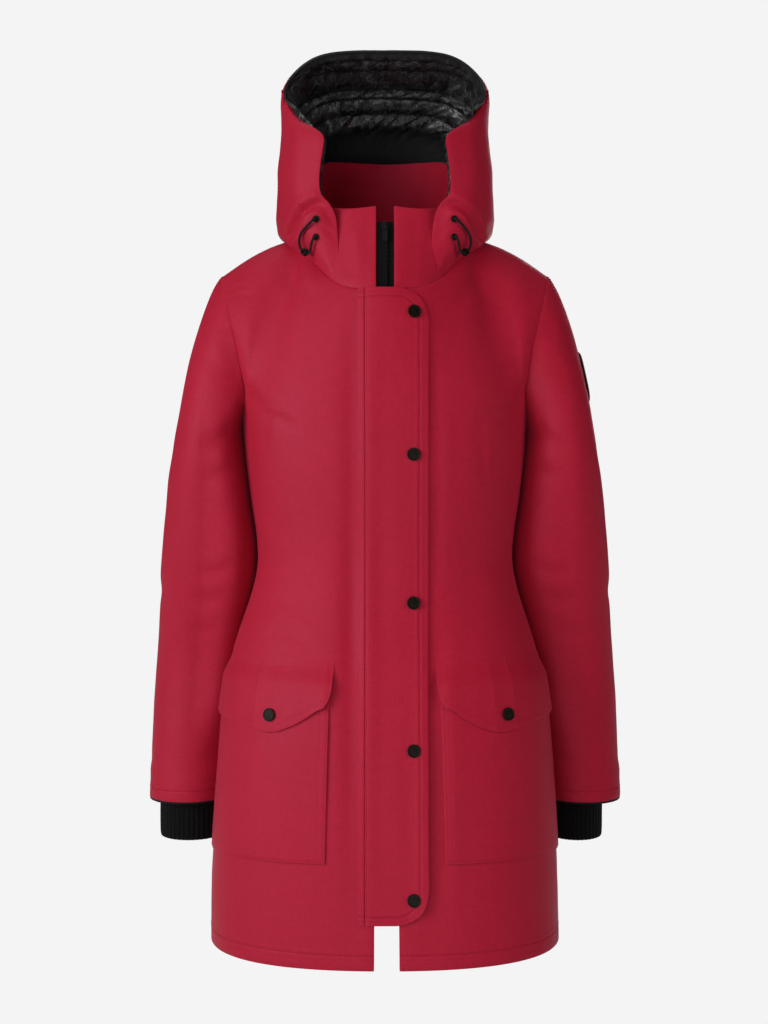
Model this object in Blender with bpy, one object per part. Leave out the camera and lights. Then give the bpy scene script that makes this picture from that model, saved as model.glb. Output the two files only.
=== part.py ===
"""Down parka, filled out as if worn: shell panels, hood, collar, storm flap, pockets, cuffs and trim."""
import bpy
import bmesh
import numpy as np
from math import cos, pi, radians, sin
from mathutils import Matrix, Vector

# Frame: +Z up, the front faces -Y, +X is the wearer's left. The origin is at the base of the neck.
# Tables and driving dimensions are in millimetres; mm turns them into metres.
mm = 0.001

# Driving dimensions
seam_gap = 0.3            # between neighbouring pieces
shell_wall = 6.0          # padded body and sleeve wall
collar_wall = 5.0
collar_gap = 0.45         # the collar draws back this far where it bends out of the neck seam
hood_wall = 3.0
lining_wall = 3.0         # hood lining between its puffs
hem_z = -854.0
armpit_z = -215.0
sleeve_ring_z = -240.0    # where the sleeve cap ends
sleeve_hem_z = -697.0
lower_rows = 11           # rows from the hem to the armpit
yoke_rows = 9             # rows from the armpit to the neck and shoulder
neck_share = 45.0         # degrees of the section that lead up to the neck, the rest to the shoulder
body_columns = (12.0, 20.25, 28.5, 36.75, 45.0, 54.0, 63.0, 72.0, 81.0, 90.0)   # degrees from the centre line
front_edge_top = 10.5     # half width of the zip opening at the neck
front_edge_hem = {"right": 12.5, "left": 16.5}

section_fullness = 0.055   # how much squarer than an ellipse the body's section is

# The body: a row for each level
torso = [
    dict(z=-854, half=216, front=150, back=140, side=0),
    dict(z=-745, half=213, front=150, back=141, side=0),
    dict(z=-640, half=206, front=148, back=140, side=1),
    dict(z=-570, half=200, front=143, back=135, side=2),
    dict(z=-520, half=194, front=136, back=128, side=3),
    dict(z=-475, half=181, front=127, back=116, side=4),
    dict(z=-440, half=170, front=121, back=109, side=4),
    dict(z=-415, half=162, front=119, back=106, side=4),
    dict(z=-389, half=159, front=118, back=105, side=4),
    dict(z=-360, half=161, front=120, back=106, side=4),
    dict(z=-330, half=165, front=123, back=108, side=4),
    dict(z=-290, half=170.5, front=128, back=111, side=4),
    dict(z=-245, half=175, front=132, back=114, side=4),
    dict(z=-215, half=177, front=133, back=116, side=4),
]

# The neck seam: an oval that climbs from the throat to the nape
neck_half = 98.0
neck_depth = 108.0
neck_middle_y = -16.0
throat_z = -69.0
nape_rise = 87.0
rise_start = 20.0         # degrees from centre front
rise_span = 85.0
shoulder_tip = (204.0, 6.0, -35.0)
shoulder_crown = 8.0      # the shoulder seam's rise over a straight line

# The way the cloth runs up into the neck and shoulder: a row for each angle from centre front
front_lie = [dict(angle=0, x=0, y=0.22, z=0.97), dict(angle=45, x=-0.1, y=0.9, z=0.4),
             dict(angle=90, x=0, y=1, z=0)]
back_lie = [dict(angle=0, x=0, y=-0.45, z=0.89), dict(angle=45, x=-0.1, y=-0.9, z=0.4),
            dict(angle=90, x=0, y=-1, z=0)]

# The armhole seam, round from the shoulder tip by way of the front
armhole = [
    dict(turn=0, x=204, y=6, z=-35),
    dict(turn=57, x=190, y=-52, z=-85),
    dict(turn=95, x=178, y=-64, z=-135),
    dict(turn=137, x=171, y=-48, z=-188),
    dict(turn=180, x=177, y=4, z=-215),
    dict(turn=224, x=171, y=51, z=-190),
    dict(turn=263, x=175, y=65, z=-140),
    dict(turn=306, x=191, y=53, z=-85),
    dict(turn=360, x=204, y=6, z=-35),
]
# How far out, of its length, each line of the sleeve cap starts
cap_lie = [dict(turn=0, out=0.63), dict(turn=90, out=0.85), dict(turn=180, out=0.25),
           dict(turn=270, out=0.85), dict(turn=360, out=0.63)]

# The sleeve below its cap: a row for each level
sleeve = [
    dict(z=-240, outer=263, half=43, depth=74, middle=8),
    dict(z=-290, outer=272, half=50, depth=69, middle=13),
    dict(z=-340, outer=278, half=56, depth=65, middle=22),
    dict(z=-390, outer=284, half=61.5, depth=62, middle=33),
    dict(z=-440, outer=288, half=60, depth=60, middle=48),
    dict(z=-490, outer=293, half=56, depth=58, middle=64),
    dict(z=-540, outer=298, half=55, depth=57, middle=73),
    dict(z=-610, outer=302, half=53, depth=56, middle=76),
    dict(z=-697, outer=306, half=52, depth=55, middle=73),
]

# The knit cuff: a row for each level, and its ribs
cuff = [dict(z=-686, half=41), dict(z=-741, half=41), dict(z=-747, half=38.5)]
cuff_middle = (251.0, 72.0)
cuff_wall = 4.0
cuff_ribs = 40
rib_height = 1.1
facing_wall = 2.5

# The collar's top edge
collar_half = 88.0
collar_depth = 86.0
collar_middle_y = -6.0
collar_top = [dict(angle=0, z=33), dict(angle=38, z=33), dict(angle=60, z=50), dict(angle=90, z=84),
              dict(angle=115, z=113), dict(angle=140, z=123), dict(angle=180, z=125)]

# The hood: arches from the face edge to the nape, with stations from the foot of each arch to its crown.
# foot is the angle on the neck seam; the crown lies at x = 0.
stations = dict(foot=0.0, low=0.17, cheek=0.30, temple=0.46, flare=0.56, corner=0.66, brow=0.82, crown=1.0)
arches = [
    dict(back=0.0, foot=35, low=(61, -97, 24), cheek=(79, -98, 52), temple=(75.5, -97, 116),
         flare=(106, -74, 141), corner=(122.5, -50, 177), brow=(86, -58, 217), crown=(0, -60, 225)),
    dict(back=0.10, foot=50, low=(86, -91, 0), cheek=(104, -87, 52), temple=(102, -84, 119),
         flare=(117, -57, 153), corner=(127, -28, 188), brow=(90, -26, 221), crown=(0, -28, 227)),
    dict(back=0.22, foot=67, low=(110, -57, -7), cheek=(127, -52, 48), temple=(123, -50, 122),
         flare=(127, -24, 159), corner=(125, 2, 188), brow=(86, 8, 218), crown=(0, 8, 224)),
    dict(back=0.38, foot=92, low=(131, -8, 12.5), cheek=(135, -4, 46), temple=(129.5, 0, 122),
         flare=(125, 20, 156), corner=(115, 40, 181), brow=(78, 48, 208), crown=(0, 50, 215)),
    dict(back=0.54, foot=115, low=(127, 40, 12), cheek=(130, 46, 52), temple=(121, 52, 118),
         flare=(112, 64, 145), corner=(98, 76, 164), brow=(64, 86, 187), crown=(0, 90, 193)),
    dict(back=0.68, foot=133, low=(108, 76, 15), cheek=(108, 84, 52), temple=(98, 93, 102),
         flare=(89, 100, 123), corner=(76, 108, 138), brow=(48, 116, 153), crown=(0, 118, 159)),
    dict(back=0.80, foot=143, low=(84, 92, 20), cheek=(84, 101, 48), temple=(74, 109, 80),
         flare=(66, 114, 94), corner=(56, 119, 103), brow=(35, 125, 111), crown=(0, 128, 114)),
    dict(back=0.91, foot=149, low=(63, 96, 24), cheek=(60, 104, 38), temple=(52, 110, 52),
         flare=(46, 113, 57), corner=(40, 116, 60), brow=(25, 120, 64), crown=(0, 122, 66)),
]
nape_foot = 152.0         # the last arch lies on the neck seam from here round the back
hood_stand = 4.6          # the hood's foot stands this far out from the collar
hood_rows = [0, 0.045, 0.1, 0.155, 0.25, 0.345, 0.42, 0.52, 0.62, 0.7, 0.78, 0.86, 0.93, 1]
side_stations = [0, 0.09, 0.19, 0.27, 0.36, 0.43, 0.475, 0.56, 0.65, 0.73, 0.8, 0.86]
centre_stations = [0.86, 0.91, 0.955, 1.0]
# Lining: its rows from the brim back, and how far each is puffed inwards
lining_rows = [
    dict(back=0.0, puff=0.5), dict(back=0.045, puff=0), dict(back=0.10, puff=5), dict(back=0.155, puff=0),
    dict(back=0.25, puff=6), dict(back=0.345, puff=0), dict(back=0.385, puff=4), dict(back=0.42, puff=0),
    dict(back=0.47, puff=5), dict(back=0.52, puff=0), dict(back=0.57, puff=4), dict(back=0.62, puff=1),
    dict(back=0.70, puff=2), dict(back=0.78, puff=2), dict(back=0.86, puff=2), dict(back=0.93, puff=0),
]
lining_slack = 2.8        # between the hood and its lining
lining_start = 2          # stations left bare at the foot

# Storm flap and its snaps
flap_top_z = -70.5
flap_bottom_z = -801.0
flap_right_x = 49.5
flap_welt_x = -31.0
storm_flap_wall = 3.3
flap_lift = 0.8           # between the fronts and the storm flap
flap_corner = 37.0
corner_shares = (0, 0.03, 0.16, 0.45, 1.0)
welt_section = [dict(along=0, height=1.6), dict(along=0.8, height=2.4), dict(along=6.4, height=2.4),
                dict(along=8.0, height=1.4), dict(along=9.6, height=3.3)]
opening_angle = 3.4       # degrees from the centre line where the fronts' facets end at the opening
snap_x = 32.5
snap_levels = (-99.0, -263.0, -436.0, -603.0, -772.0)
snap_radius = 8.0
snap_lift = 0.5           # over the facets of a flap
snap_height = 2.6

# Patch pockets and their flaps
pocket_wall = 2.5
pocket_lift = 0.4
pocket_top_z = -508.0
pocket_foot_z = -728.0    # rows above this one run level
pocket_flap_wall = 3.0
pocket_flap_stand = 4.1   # over the front, clear of the pocket
pocket_flap_z = -545.0    # height at which its outline is turned into angles
pocket_side = 86.0        # degrees round the body where a pocket ends
pocket_edge = [dict(z=-741, x=69), dict(z=-620, x=66), dict(z=-508, x=63)]
pocket_base = [dict(angle=15, z=-732), dict(angle=50, z=-735), dict(angle=90, z=-742)]
pocket_flap_top = [dict(x=61, z=-499), dict(x=110, z=-494), dict(x=204, z=-496)]
pocket_flap_base = [dict(x=61, z=-536), dict(x=64.5, z=-548), dict(x=77, z=-559),
                    dict(x=134, z=-586), dict(x=167, z=-578), dict(x=199, z=-575)]
pocket_snap_x = {"right": 130.7, "left": 139.3}
pocket_snap_z = -566.0

# Zip
tape_wall = 1.5
tape_depth = 2.6          # below the shell's outer face
chain_half = 3.0
chain_wall = 1.6
zip_top_z = 13.0
zip_bottom_z = -790.0
slider_z = 6.0

# Drawcord at the hood's edge, on the wearer's left: eyelets as x and height, cord points by hand
eyelet_places = ((81.5, 16.0), (81.5, -5.0))
eyelet_radius = 3.8
eyelet_hole = 2.0
cord_radius = 1.5
cord_path = [
    (81.7, -94.9, 16.0), (82.6, -98.0, 15.5), (85.6, -99.2, 13.2), (90.5, -95.2, 9.5),
    (96.5, -89.2, 4.5), (100.8, -83.6, -1.5), (102.4, -80.2, -8.0), (101.4, -79.6, -14.0),
    (99.0, -81.5, -18.8), (96.7, -83.0, -20.4), (94.4, -84.5, -22.0), (92.1, -86.0, -23.6),
    (89.0, -89.6, -20.6), (87.3, -93.2, -14.5), (85.6, -96.2, -9.0), (83.2, -96.8, -5.8),
    (81.9, -93.8, -5.1),
]
cord_points = 23
bead_place = 9.5          # index along the cord path
bead_radius = 4.6
bead_half = 3.0

patch_place = (14.0, -161.0)
patch_radius = 31.5
patch_wall = 1.5
patch_lift = 1.2          # over the sleeve's facets

colours = {
    "shell": ((0.40, 0.018, 0.045), 0.55),
    "lining": ((0.012, 0.012, 0.013), 0.3),
    "knit": ((0.012, 0.011, 0.012), 0.9),
    "snap": ((0.015, 0.012, 0.014), 0.35),
    "tape": ((0.01, 0.009, 0.01), 0.7),
    "cord": ((0.012, 0.011, 0.012), 0.6),
    "patch": ((0.03, 0.03, 0.035), 0.8),
}
made_materials = {}


def materialFor(kind):
    if kind not in made_materials:
        colour, roughness = colours[kind]
        material = bpy.data.materials.new(kind)
        material.use_nodes = True
        shader = material.node_tree.nodes["Principled BSDF"]
        shader.inputs["Base Color"].default_value = (*colour, 1)
        shader.inputs["Roughness"].default_value = roughness
        shader.inputs["Metallic"].default_value = 0.0
        made_materials[kind] = material
    return made_materials[kind]


# Curves through the tables

def column(rows, *names):
    return np.array([[row[name] for name in names] for row in rows], float)


def smooth(knots, values, at):
    """A cubic through the values, with slopes taken from the neighbouring knots."""
    knots = np.asarray(knots, float)
    values = np.asarray(values, float)
    at = np.asarray(at, float)
    slopes = np.gradient(values, knots, axis=0)
    low = np.clip(np.searchsorted(knots, at, side="right") - 1, 0, len(knots) - 2)
    span = knots[low + 1] - knots[low]
    t = (at - knots[low]) / span
    if values.ndim > 1:
        extra = (1,) * (values.ndim - 1)
        t = t.reshape(t.shape + extra)
        span = span.reshape(span.shape + extra)
    start = (2 * t**3 - 3 * t**2 + 1) * values[low] + (t**3 - 2 * t**2 + t) * span * slopes[low]
    end = (3 * t**2 - 2 * t**3) * values[low + 1] + (t**3 - t**2) * span * slopes[low + 1]
    return start + end


def read(rows, key, name, at):
    """The named column of a table at a value of its key column."""
    table = column(rows, key, name)
    table = table[np.argsort(table[:, 0])]
    return smooth(table[:, 0], table[:, 1], at)


def step(value):
    value = np.clip(value, 0, 1)
    return value * value * (3 - 2 * value)


def unit(vectors):
    return vectors / np.maximum(np.linalg.norm(vectors, axis=-1, keepdims=True), 1e-9)


def hermite(start, start_run, end, end_run, t):
    t = t[..., None]
    low = (2 * t**3 - 3 * t**2 + 1) * start + (t**3 - 2 * t**2 + t) * start_run
    return low + (3 * t**2 - 2 * t**3) * end + (t**3 - t**2) * end_run


# Forms: each takes two coordinates on a surface and gives its outer points, for the wearer's left half

def torsoForm(angle, z):
    """The body below the armpit; angle runs in degrees from centre front to centre back."""
    angle, z = np.broadcast_arrays(np.asarray(angle, float), np.asarray(z, float))
    half = read(torso, "z", "half", z)
    side = read(torso, "z", "side", z)
    front = read(torso, "z", "front", z) + side
    back = read(torso, "z", "back", z) - side
    turn = np.radians(angle)
    fullness = 1 + section_fullness * np.sin(2 * turn) ** 2
    depth = np.where(np.cos(turn) > 0, front, back)
    return np.stack([half * np.sin(turn) * fullness, side - depth * np.cos(turn) * fullness, z], -1)


def neckForm(angle, stand=0.0):
    """The neck seam; angle runs in degrees from centre front, stand moves it outwards."""
    turn = np.radians(np.asarray(angle, float))
    x = (neck_half + stand) * np.sin(turn)
    y = neck_middle_y - (neck_depth + stand) * np.cos(turn)
    z = throat_z + nape_rise * step((np.asarray(angle, float) - rise_start) / rise_span)
    return np.stack([x, y, z], -1)


def armholeForm(turn):
    turn = np.mod(np.asarray(turn, float), 360)
    table = column(armhole, "turn", "x", "y", "z")
    before = table[-3:-1] - (360, 0, 0, 0)
    after = table[1:3] + (360, 0, 0, 0)
    table = np.vstack([before, table, after])
    return smooth(table[:, 0], table[:, 1:], turn)


def yokeTop(angle):
    """The neck seam and the shoulder seam in one line; angle is 90 at the shoulder tip."""
    share = np.clip((angle - neck_share) / (90 - neck_share), 0, 1)
    neck_side = neckForm(90.0)
    along = neck_side + (np.array(shoulder_tip) - neck_side) * share[..., None]
    along[..., 2] += shoulder_crown * np.sin(pi * share)
    return share, along


def yokeForm(angle, rise):
    """The body above the armpit; rise is 0 at the armpit and 1 at the neck and shoulder."""
    angle, rise = np.broadcast_arrays(np.asarray(angle, float), np.asarray(rise, float))
    behind = angle > 90
    near = np.where(behind, 180 - angle, angle)
    share, along = yokeTop(near)
    neck_angle = np.where(behind, 180 - near * 90 / neck_share, near * 90 / neck_share)
    top = np.where((share > 0)[..., None], along, neckForm(neck_angle))
    bottom = torsoForm(angle, armpit_z)
    length = np.linalg.norm(top - bottom, axis=-1, keepdims=True)
    below = torsoForm(angle, armpit_z - 10.0)
    start_run = unit(bottom - below) * length
    front_table = column(front_lie, "angle", "x", "y", "z")
    back_table = column(back_lie, "angle", "x", "y", "z")
    front_run = smooth(front_table[:, 0], front_table[:, 1:], near)
    back_run = smooth(back_table[:, 0], back_table[:, 1:], near)
    end_run = np.where(behind[..., None], back_run, front_run) * length * 0.62
    points = hermite(bottom, start_run, top, end_run, rise)
    # near the side the cloth is drawn to the armhole seam
    edge = hermite(bottomSide(), runUp(), np.array(shoulder_tip), sideRun(behind), rise)
    turn = np.where(behind, 180 + 180 * rise, 180 - 180 * rise)
    pull = step((near - neck_share) / (90 - neck_share))[..., None]
    return points + pull * (armholeForm(turn) - edge)


def bottomSide():
    return torsoForm(90.0, armpit_z)


def sideLength():
    return np.linalg.norm(np.array(shoulder_tip) - bottomSide())


def runUp():
    return unit(bottomSide() - torsoForm(90.0, armpit_z - 10.0)) * sideLength()


def sideRun(behind):
    run = np.where(behind[..., None], np.array((0, -1.0, 0)), np.array((0, 1.0, 0)))
    return run * sideLength() * 0.62


def bodyForm(angle, level):
    """The whole body; level runs from 0 at the hem to 1 at the armpit and 2 at the neck and shoulder."""
    angle, level = np.broadcast_arrays(np.asarray(angle, float), np.asarray(level, float))
    lower = torsoForm(np.abs(angle), hem_z + (armpit_z - hem_z) * np.minimum(level, 1))
    upper = yokeForm(np.abs(angle), np.clip(level - 1, 0, 1))
    points = np.where((level > 1)[..., None], upper, lower)
    points[..., 0] *= np.where(angle < 0, -1, 1)
    return points


def sleeveRing(turn, z):
    outer = read(sleeve, "z", "outer", z)
    half = read(sleeve, "z", "half", z)
    angle = np.radians(turn)
    x = outer - half + half * np.cos(angle)
    y = read(sleeve, "z", "middle", z) - read(sleeve, "z", "depth", z) * np.sin(angle)
    return np.stack([x, y, np.broadcast_to(z, x.shape)], -1)


def sleeveForm(turn, level):
    """The sleeve; turn is 0 outside and 90 in front, level is 0 at the armhole and 1 at the cap's end."""
    turn, level = np.broadcast_arrays(np.asarray(turn, float), np.asarray(level, float))
    z = sleeve_ring_z + (sleeve_hem_z - sleeve_ring_z) * np.clip(level - 1, 0, 1)
    lower = sleeveRing(turn, z)
    start = armholeForm(turn)
    end = sleeveRing(turn, np.full(turn.shape, sleeve_ring_z))
    length = np.linalg.norm(end - start, axis=-1, keepdims=True)
    out = read(cap_lie, "turn", "out", np.mod(turn, 360))
    start_run = np.stack([out, 0 * out, -np.sqrt(1 - out**2)], -1) * length * 0.6
    below = sleeveRing(turn, np.full(turn.shape, sleeve_ring_z - 10.0))
    end_run = unit(below - end) * length
    cap = hermite(start, start_run, end, end_run, np.clip(level, 0, 1))
    return np.where((level > 1)[..., None], lower, cap)


def collarForm(angle, rise):
    """The collar; angle runs from centre front to back, rise from the neck seam to the top edge."""
    angle, rise = np.broadcast_arrays(np.asarray(angle, float), np.asarray(rise, float))
    # the opening's edges stay parallel although the top is narrower
    spread = np.degrees(np.arcsin(front_edge_top / collar_half) - np.arcsin(front_edge_top / neck_half))
    turn = np.radians(angle + spread * np.clip(1 - angle / 90, 0, 1))
    power = np.where(angle < 90, 2.7, 2.2)
    size = (np.abs(np.sin(turn)) ** power + np.abs(np.cos(turn)) ** power) ** (-1 / power)
    x = collar_half * np.sin(turn) * size
    y = collar_middle_y - collar_depth * np.cos(turn) * size
    top = np.stack([x, y, read(collar_top, "angle", "z", angle)], -1)
    bottom = neckForm(angle)
    bulge = np.sin(pi * rise)[..., None] * unit(np.stack([np.sin(turn), -np.cos(turn), 0 * turn], -1)) * 2.0
    return bottom + (top - bottom) * rise[..., None] + bulge


def archTable():
    """Arch points by arch and station; the nape arch is last and one station lies past the crown."""
    names = ("low", "cheek", "temple", "flare", "corner", "brow", "crown")
    rows = []
    for arch in arches:
        foot = neckForm(arch["foot"], hood_stand)
        foot[2] += 1.0
        rows.append([foot] + [np.array(arch[name], float) for name in names])
    nape = np.array([nape_foot + (180 - nape_foot) * place for place in stations.values()])
    rows.append(list(neckForm(nape, hood_stand) + (0, 0, 1.0)))
    points = np.array(rows)
    beyond = points[:, -2:-1] * (-1, 1, 1)
    return np.concatenate([points, beyond], 1)


def hoodForm(station, back):
    """The hood; station runs from foot to crown, back from the face edge to the nape."""
    station, back = np.broadcast_arrays(np.asarray(station, float), np.asarray(back, float))
    shape = station.shape
    table = archTable()
    places = list(stations.values()) + [2 - stations["brow"]]
    depths = [arch["back"] for arch in arches] + [1.0]
    across = smooth(places, np.swapaxes(table, 0, 1), station.ravel())
    points = [smooth(depths, line, np.array([depth]))[0] for line, depth in zip(across, back.ravel())]
    return np.array(points).reshape(shape + (3,))


# From forms to walls

def normalsOf(grid, wraps=False):
    if wraps:
        padded = np.concatenate([grid[:, -1:], grid, grid[:, :1]], 1)
        along = (padded[:, 2:] - padded[:, :-2]) / 2
    else:
        along = np.gradient(grid, axis=1)
    return unit(np.cross(along, np.gradient(grid, axis=0)))


def facing(grid, normals, inside):
    """Turns the normals so that they point away from the points inside."""
    outwards = np.sum(normals * (grid - inside)) > 0
    return normals if outwards else -normals


def shareSeams(pieces):
    """Pieces that meet on a line take the same thickness direction there."""
    points = np.concatenate([grid.reshape(-1, 3) for grid, normals in pieces])
    directions = np.concatenate([normals.reshape(-1, 3) for grid, normals in pieces])
    for grid, normals in pieces:
        for place in np.ndindex(grid.shape[:2]):
            together = np.abs(points - grid[place]).max(axis=1) < 0.01
            normals[place] = unit(directions[together].sum(axis=0))


def trimmed(grid, wraps=False, back=seam_gap / 2):
    """The grid drawn back from its free borders, by half the seam gap where nothing else is given."""
    grid = grid.copy()
    grid[0] += unit(grid[1] - grid[0]) * back
    grid[-1] += unit(grid[-2] - grid[-1]) * back
    if not wraps:
        grid[:, 0] += unit(grid[:, 1] - grid[:, 0]) * back
        grid[:, -1] += unit(grid[:, -2] - grid[:, -1]) * back
    return grid


def wall(name, kind, outer, inner, wraps=False, mirror=False):
    """A closed solid between two grids of the same shape."""
    rows, columns = outer.shape[:2]
    scale = np.array((-1, 1, 1)) if mirror else np.array((1, 1, 1))
    mesh = bmesh.new()
    sheets = []
    for grid in (outer, inner):
        sheets.append([[mesh.verts.new(point * scale * mm) for point in line] for line in grid])
    across = columns if wraps else columns - 1
    for row in range(rows - 1):
        for place in range(across):
            after = (place + 1) % columns
            for sheet in sheets:
                above = sheet[row + 1]
                splitFace(mesh, sheet[row][place], sheet[row][after], above[after], above[place])
    for row in (0, rows - 1):
        for place in range(across):
            after = (place + 1) % columns
            outside, inside = sheets[0][row], sheets[1][row]
            splitFace(mesh, outside[place], outside[after], inside[after], inside[place])
    if not wraps:
        for place in (0, columns - 1):
            for row in range(rows - 1):
                splitFace(mesh, sheets[0][row][place], sheets[0][row + 1][place],
                          sheets[1][row + 1][place], sheets[1][row][place])
    bmesh.ops.recalc_face_normals(mesh, faces=mesh.faces)
    return finished(name, kind, mesh)


def splitFace(mesh, first, second, third, fourth):
    """Two triangles, split along the shorter diagonal so that pieces that lie together match."""
    if (first.co - third.co).length <= (second.co - fourth.co).length:
        mesh.faces.new((first, second, third))
        mesh.faces.new((first, third, fourth))
    else:
        mesh.faces.new((first, second, fourth))
        mesh.faces.new((second, third, fourth))


def finished(name, kind, mesh):
    data = bpy.data.meshes.new(name)
    mesh.to_mesh(data)
    mesh.free()
    data.shade_smooth()
    data.set_sharp_from_angle(angle=radians(40))
    data.materials.append(materialFor(kind))
    made = bpy.data.objects.new(name, data)
    bpy.context.collection.objects.link(made)
    return made


# Body panels and sleeves

def bodyLevels():
    lower = np.linspace(0, 1, lower_rows + 1)
    return np.concatenate([lower, 1 + np.linspace(0, 1, yoke_rows + 1)[1:]])


def edgeAngle(side, level):
    """Where a front ends at the zip opening, in degrees."""
    z = hem_z + (armpit_z - hem_z) * min(level, 1)
    share = (z - hem_z) / (armpit_z - hem_z)
    half = front_edge_hem[side] + (front_edge_top - front_edge_hem[side]) * share
    low = np.degrees(np.arcsin(half / read(torso, "z", "half", z)))
    top = np.degrees(np.arcsin(front_edge_top / neck_half)) * neck_share / 90
    return low + (top - low) * max(level - 1, 0)


def frontGrid(side):
    rows = []
    for level in bodyLevels():
        angles = np.array((edgeAngle(side, level),) + body_columns)
        rows.append(bodyForm(angles, level))
    return np.array(rows)


def backHalf():
    angles = 180 - np.array((0.0,) + body_columns)[::-1]
    angles[0] += 1e-7     # just behind the side seam
    return np.array([bodyForm(angles, level) for level in bodyLevels()])


def sleeveGrid():
    turns = np.arange(2 * yoke_rows) * 180.0 / yoke_rows
    levels = np.concatenate([[0, 0.14, 0.32, 0.54, 0.77], 1 + np.linspace(0, 1, 11)])
    return np.array([sleeveForm(turns, level) for level in levels])


def sleeveInside():
    grid = sleeveGrid()
    return np.broadcast_to(grid.mean(axis=1, keepdims=True), grid.shape)


def armholeNormal(grid):
    """At the armhole the cloth turns outwards from the middle of the ring."""
    middle = armholeForm(np.arange(0, 360, 10)).mean(axis=0)
    radial = (grid - middle) * (0, 1, 1)
    upwards = np.clip(unit(radial)[..., 2:], 0, 1)
    return unit(unit(radial) + upwards * (0.55, 0, 0))


def buildBody():
    fronts = {side: frontGrid(side) for side in ("right", "left")}
    half = backHalf()
    back = np.concatenate([half, half[:, -2::-1] * (-1, 1, 1)], 1)
    sleeve_grid = sleeveGrid()
    neck_angles = collarAngles()
    collar_grid = collarGrid(neck_angles)
    axis = np.array((0, 0, 1.0))
    pieces = {}
    for side, grid in fronts.items():
        mirrored = grid * (-1, 1, 1) if side == "right" else grid
        pieces["front_" + side] = [mirrored, facing(mirrored, normalsOf(mirrored), mirrored * axis)]
    pieces["back"] = [back, facing(back, normalsOf(back), back * axis)]
    pieces["collar"] = [collar_grid, facing(collar_grid, normalsOf(collar_grid), collar_grid * axis)]
    shareSeams(list(pieces.values()))
    squareToOpening(pieces["front_right"][1][:, 0])
    squareToOpening(pieces["front_left"][1][:, 0])
    squareToOpening(pieces["collar"][1][:, 0])
    squareToOpening(pieces["collar"][1][:, -1])
    sleeve_normals = facing(sleeve_grid, normalsOf(sleeve_grid, True), sleeveInside())
    sleeve_normals[0] = armholeNormal(sleeve_grid[0])
    top = slice(lower_rows, None)
    for side, sign in (("right", -1), ("left", 1)):
        grid, normals = pieces["front_" + side]
        mirror = np.array((sign, 1, 1))
        normals[top, -1] = armholeNormal(grid[top, -1] * mirror) * mirror
    grid, normals = pieces["back"]
    normals[top, 0] = armholeNormal(grid[top, 0])
    normals[top, -1] = armholeNormal(grid[top, -1] * (-1, 1, 1)) * (-1, 1, 1)
    for name, (grid, normals) in pieces.items():
        thickness = collar_wall if name == "collar" else shell_wall
        outer = trimmed(grid, back=collar_gap if name == "collar" else seam_gap / 2)
        wall(name, "shell", outer, outer - normals * thickness)
    for side in ("right", "left"):
        outer = trimmed(sleeve_grid, True)
        wall("sleeve_" + side, "shell", outer, outer - sleeve_normals * shell_wall, True, side == "right")


def squareToOpening(normals):
    """Beside the zip the walls' edges stand square, so that the opening stays as wide inside."""
    normals[:, 0] = 0
    normals[:] = unit(normals)


def collarAngles():
    """The collar's columns stand on the body's columns at the neck."""
    start = np.degrees(np.arcsin(front_edge_top / neck_half))
    neck = [angle * 90 / neck_share for angle in body_columns if angle <= neck_share]
    return np.array([start] + neck + [180 - angle for angle in neck[-2::-1]] + [180.0])


def collarGrid(angles):
    half = np.array([collarForm(angles, rise) for rise in np.linspace(0, 1, 6)])
    return np.concatenate([half * (-1, 1, 1), half[:, -2::-1]], 1)


# Hood

def hoodGrid(places, backs):
    return np.array([hoodForm(np.array(places, float), back) for back in backs])


def bothSides(half):
    return np.concatenate([half, half[:, -2::-1] * (-1, 1, 1)], 1)


def hoodNormals(grid):
    return facing(grid, normalsOf(grid), np.zeros(grid.shape) + (0, 0, 90.0))


def buildHood():
    side = hoodGrid(side_stations, hood_rows)
    centre = bothSides(hoodGrid(centre_stations, hood_rows))
    whole = bothSides(hoodGrid(side_stations + centre_stations[1:], hood_rows))
    normals = hoodNormals(whole)
    count = len(side_stations)
    outer = trimmed(side)
    inner = outer - normals[:, :count] * hood_wall
    wall("hood_side_left", "shell", outer, inner)
    wall("hood_side_right", "shell", outer, inner, mirror=True)
    outer = trimmed(centre)
    wall("hood_centre", "shell", outer, outer - normals[:, count - 1:count - 1 + centre.shape[1]] * hood_wall)


def buildLining():
    backs = [row["back"] for row in lining_rows]
    puffs = np.array([row["puff"] for row in lining_rows])[:, None, None]
    whole = bothSides(hoodGrid(side_stations + centre_stations[1:], backs))
    normals = hoodNormals(whole)[:, lining_start:-lining_start]
    outer = trimmed(whole[:, lining_start:-lining_start] - normals * (hood_wall + lining_slack))
    wall("hood_lining", "lining", outer, outer - normals * (lining_wall + puffs))


# Pieces that lie on a panel

def solveOn(form, guess, axes, targets, last):
    """Form coordinates whose points have the wanted values on two axes; the second ends at last."""
    first = np.full(targets.shape[:-1], float(guess[0]))
    second = np.full(targets.shape[:-1], float(guess[1]))
    nudge = 1e-3
    for _ in range(14):
        here = form(first, second)[..., axes]
        by_first = (form(first + nudge, second)[..., axes] - here) / nudge
        by_second = (here - form(first, second - nudge)[..., axes]) / nudge
        miss = targets - here
        area = by_first[..., 0] * by_second[..., 1] - by_first[..., 1] * by_second[..., 0]
        change_first = (miss[..., 0] * by_second[..., 1] - miss[..., 1] * by_second[..., 0]) / area
        change_second = (by_first[..., 0] * miss[..., 1] - by_first[..., 1] * miss[..., 0]) / area
        first = first + np.clip(change_first, -20, 20)
        second = np.clip(second + np.clip(change_second, -0.4, 0.4), 2 * nudge, last)
    return first, second


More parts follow.
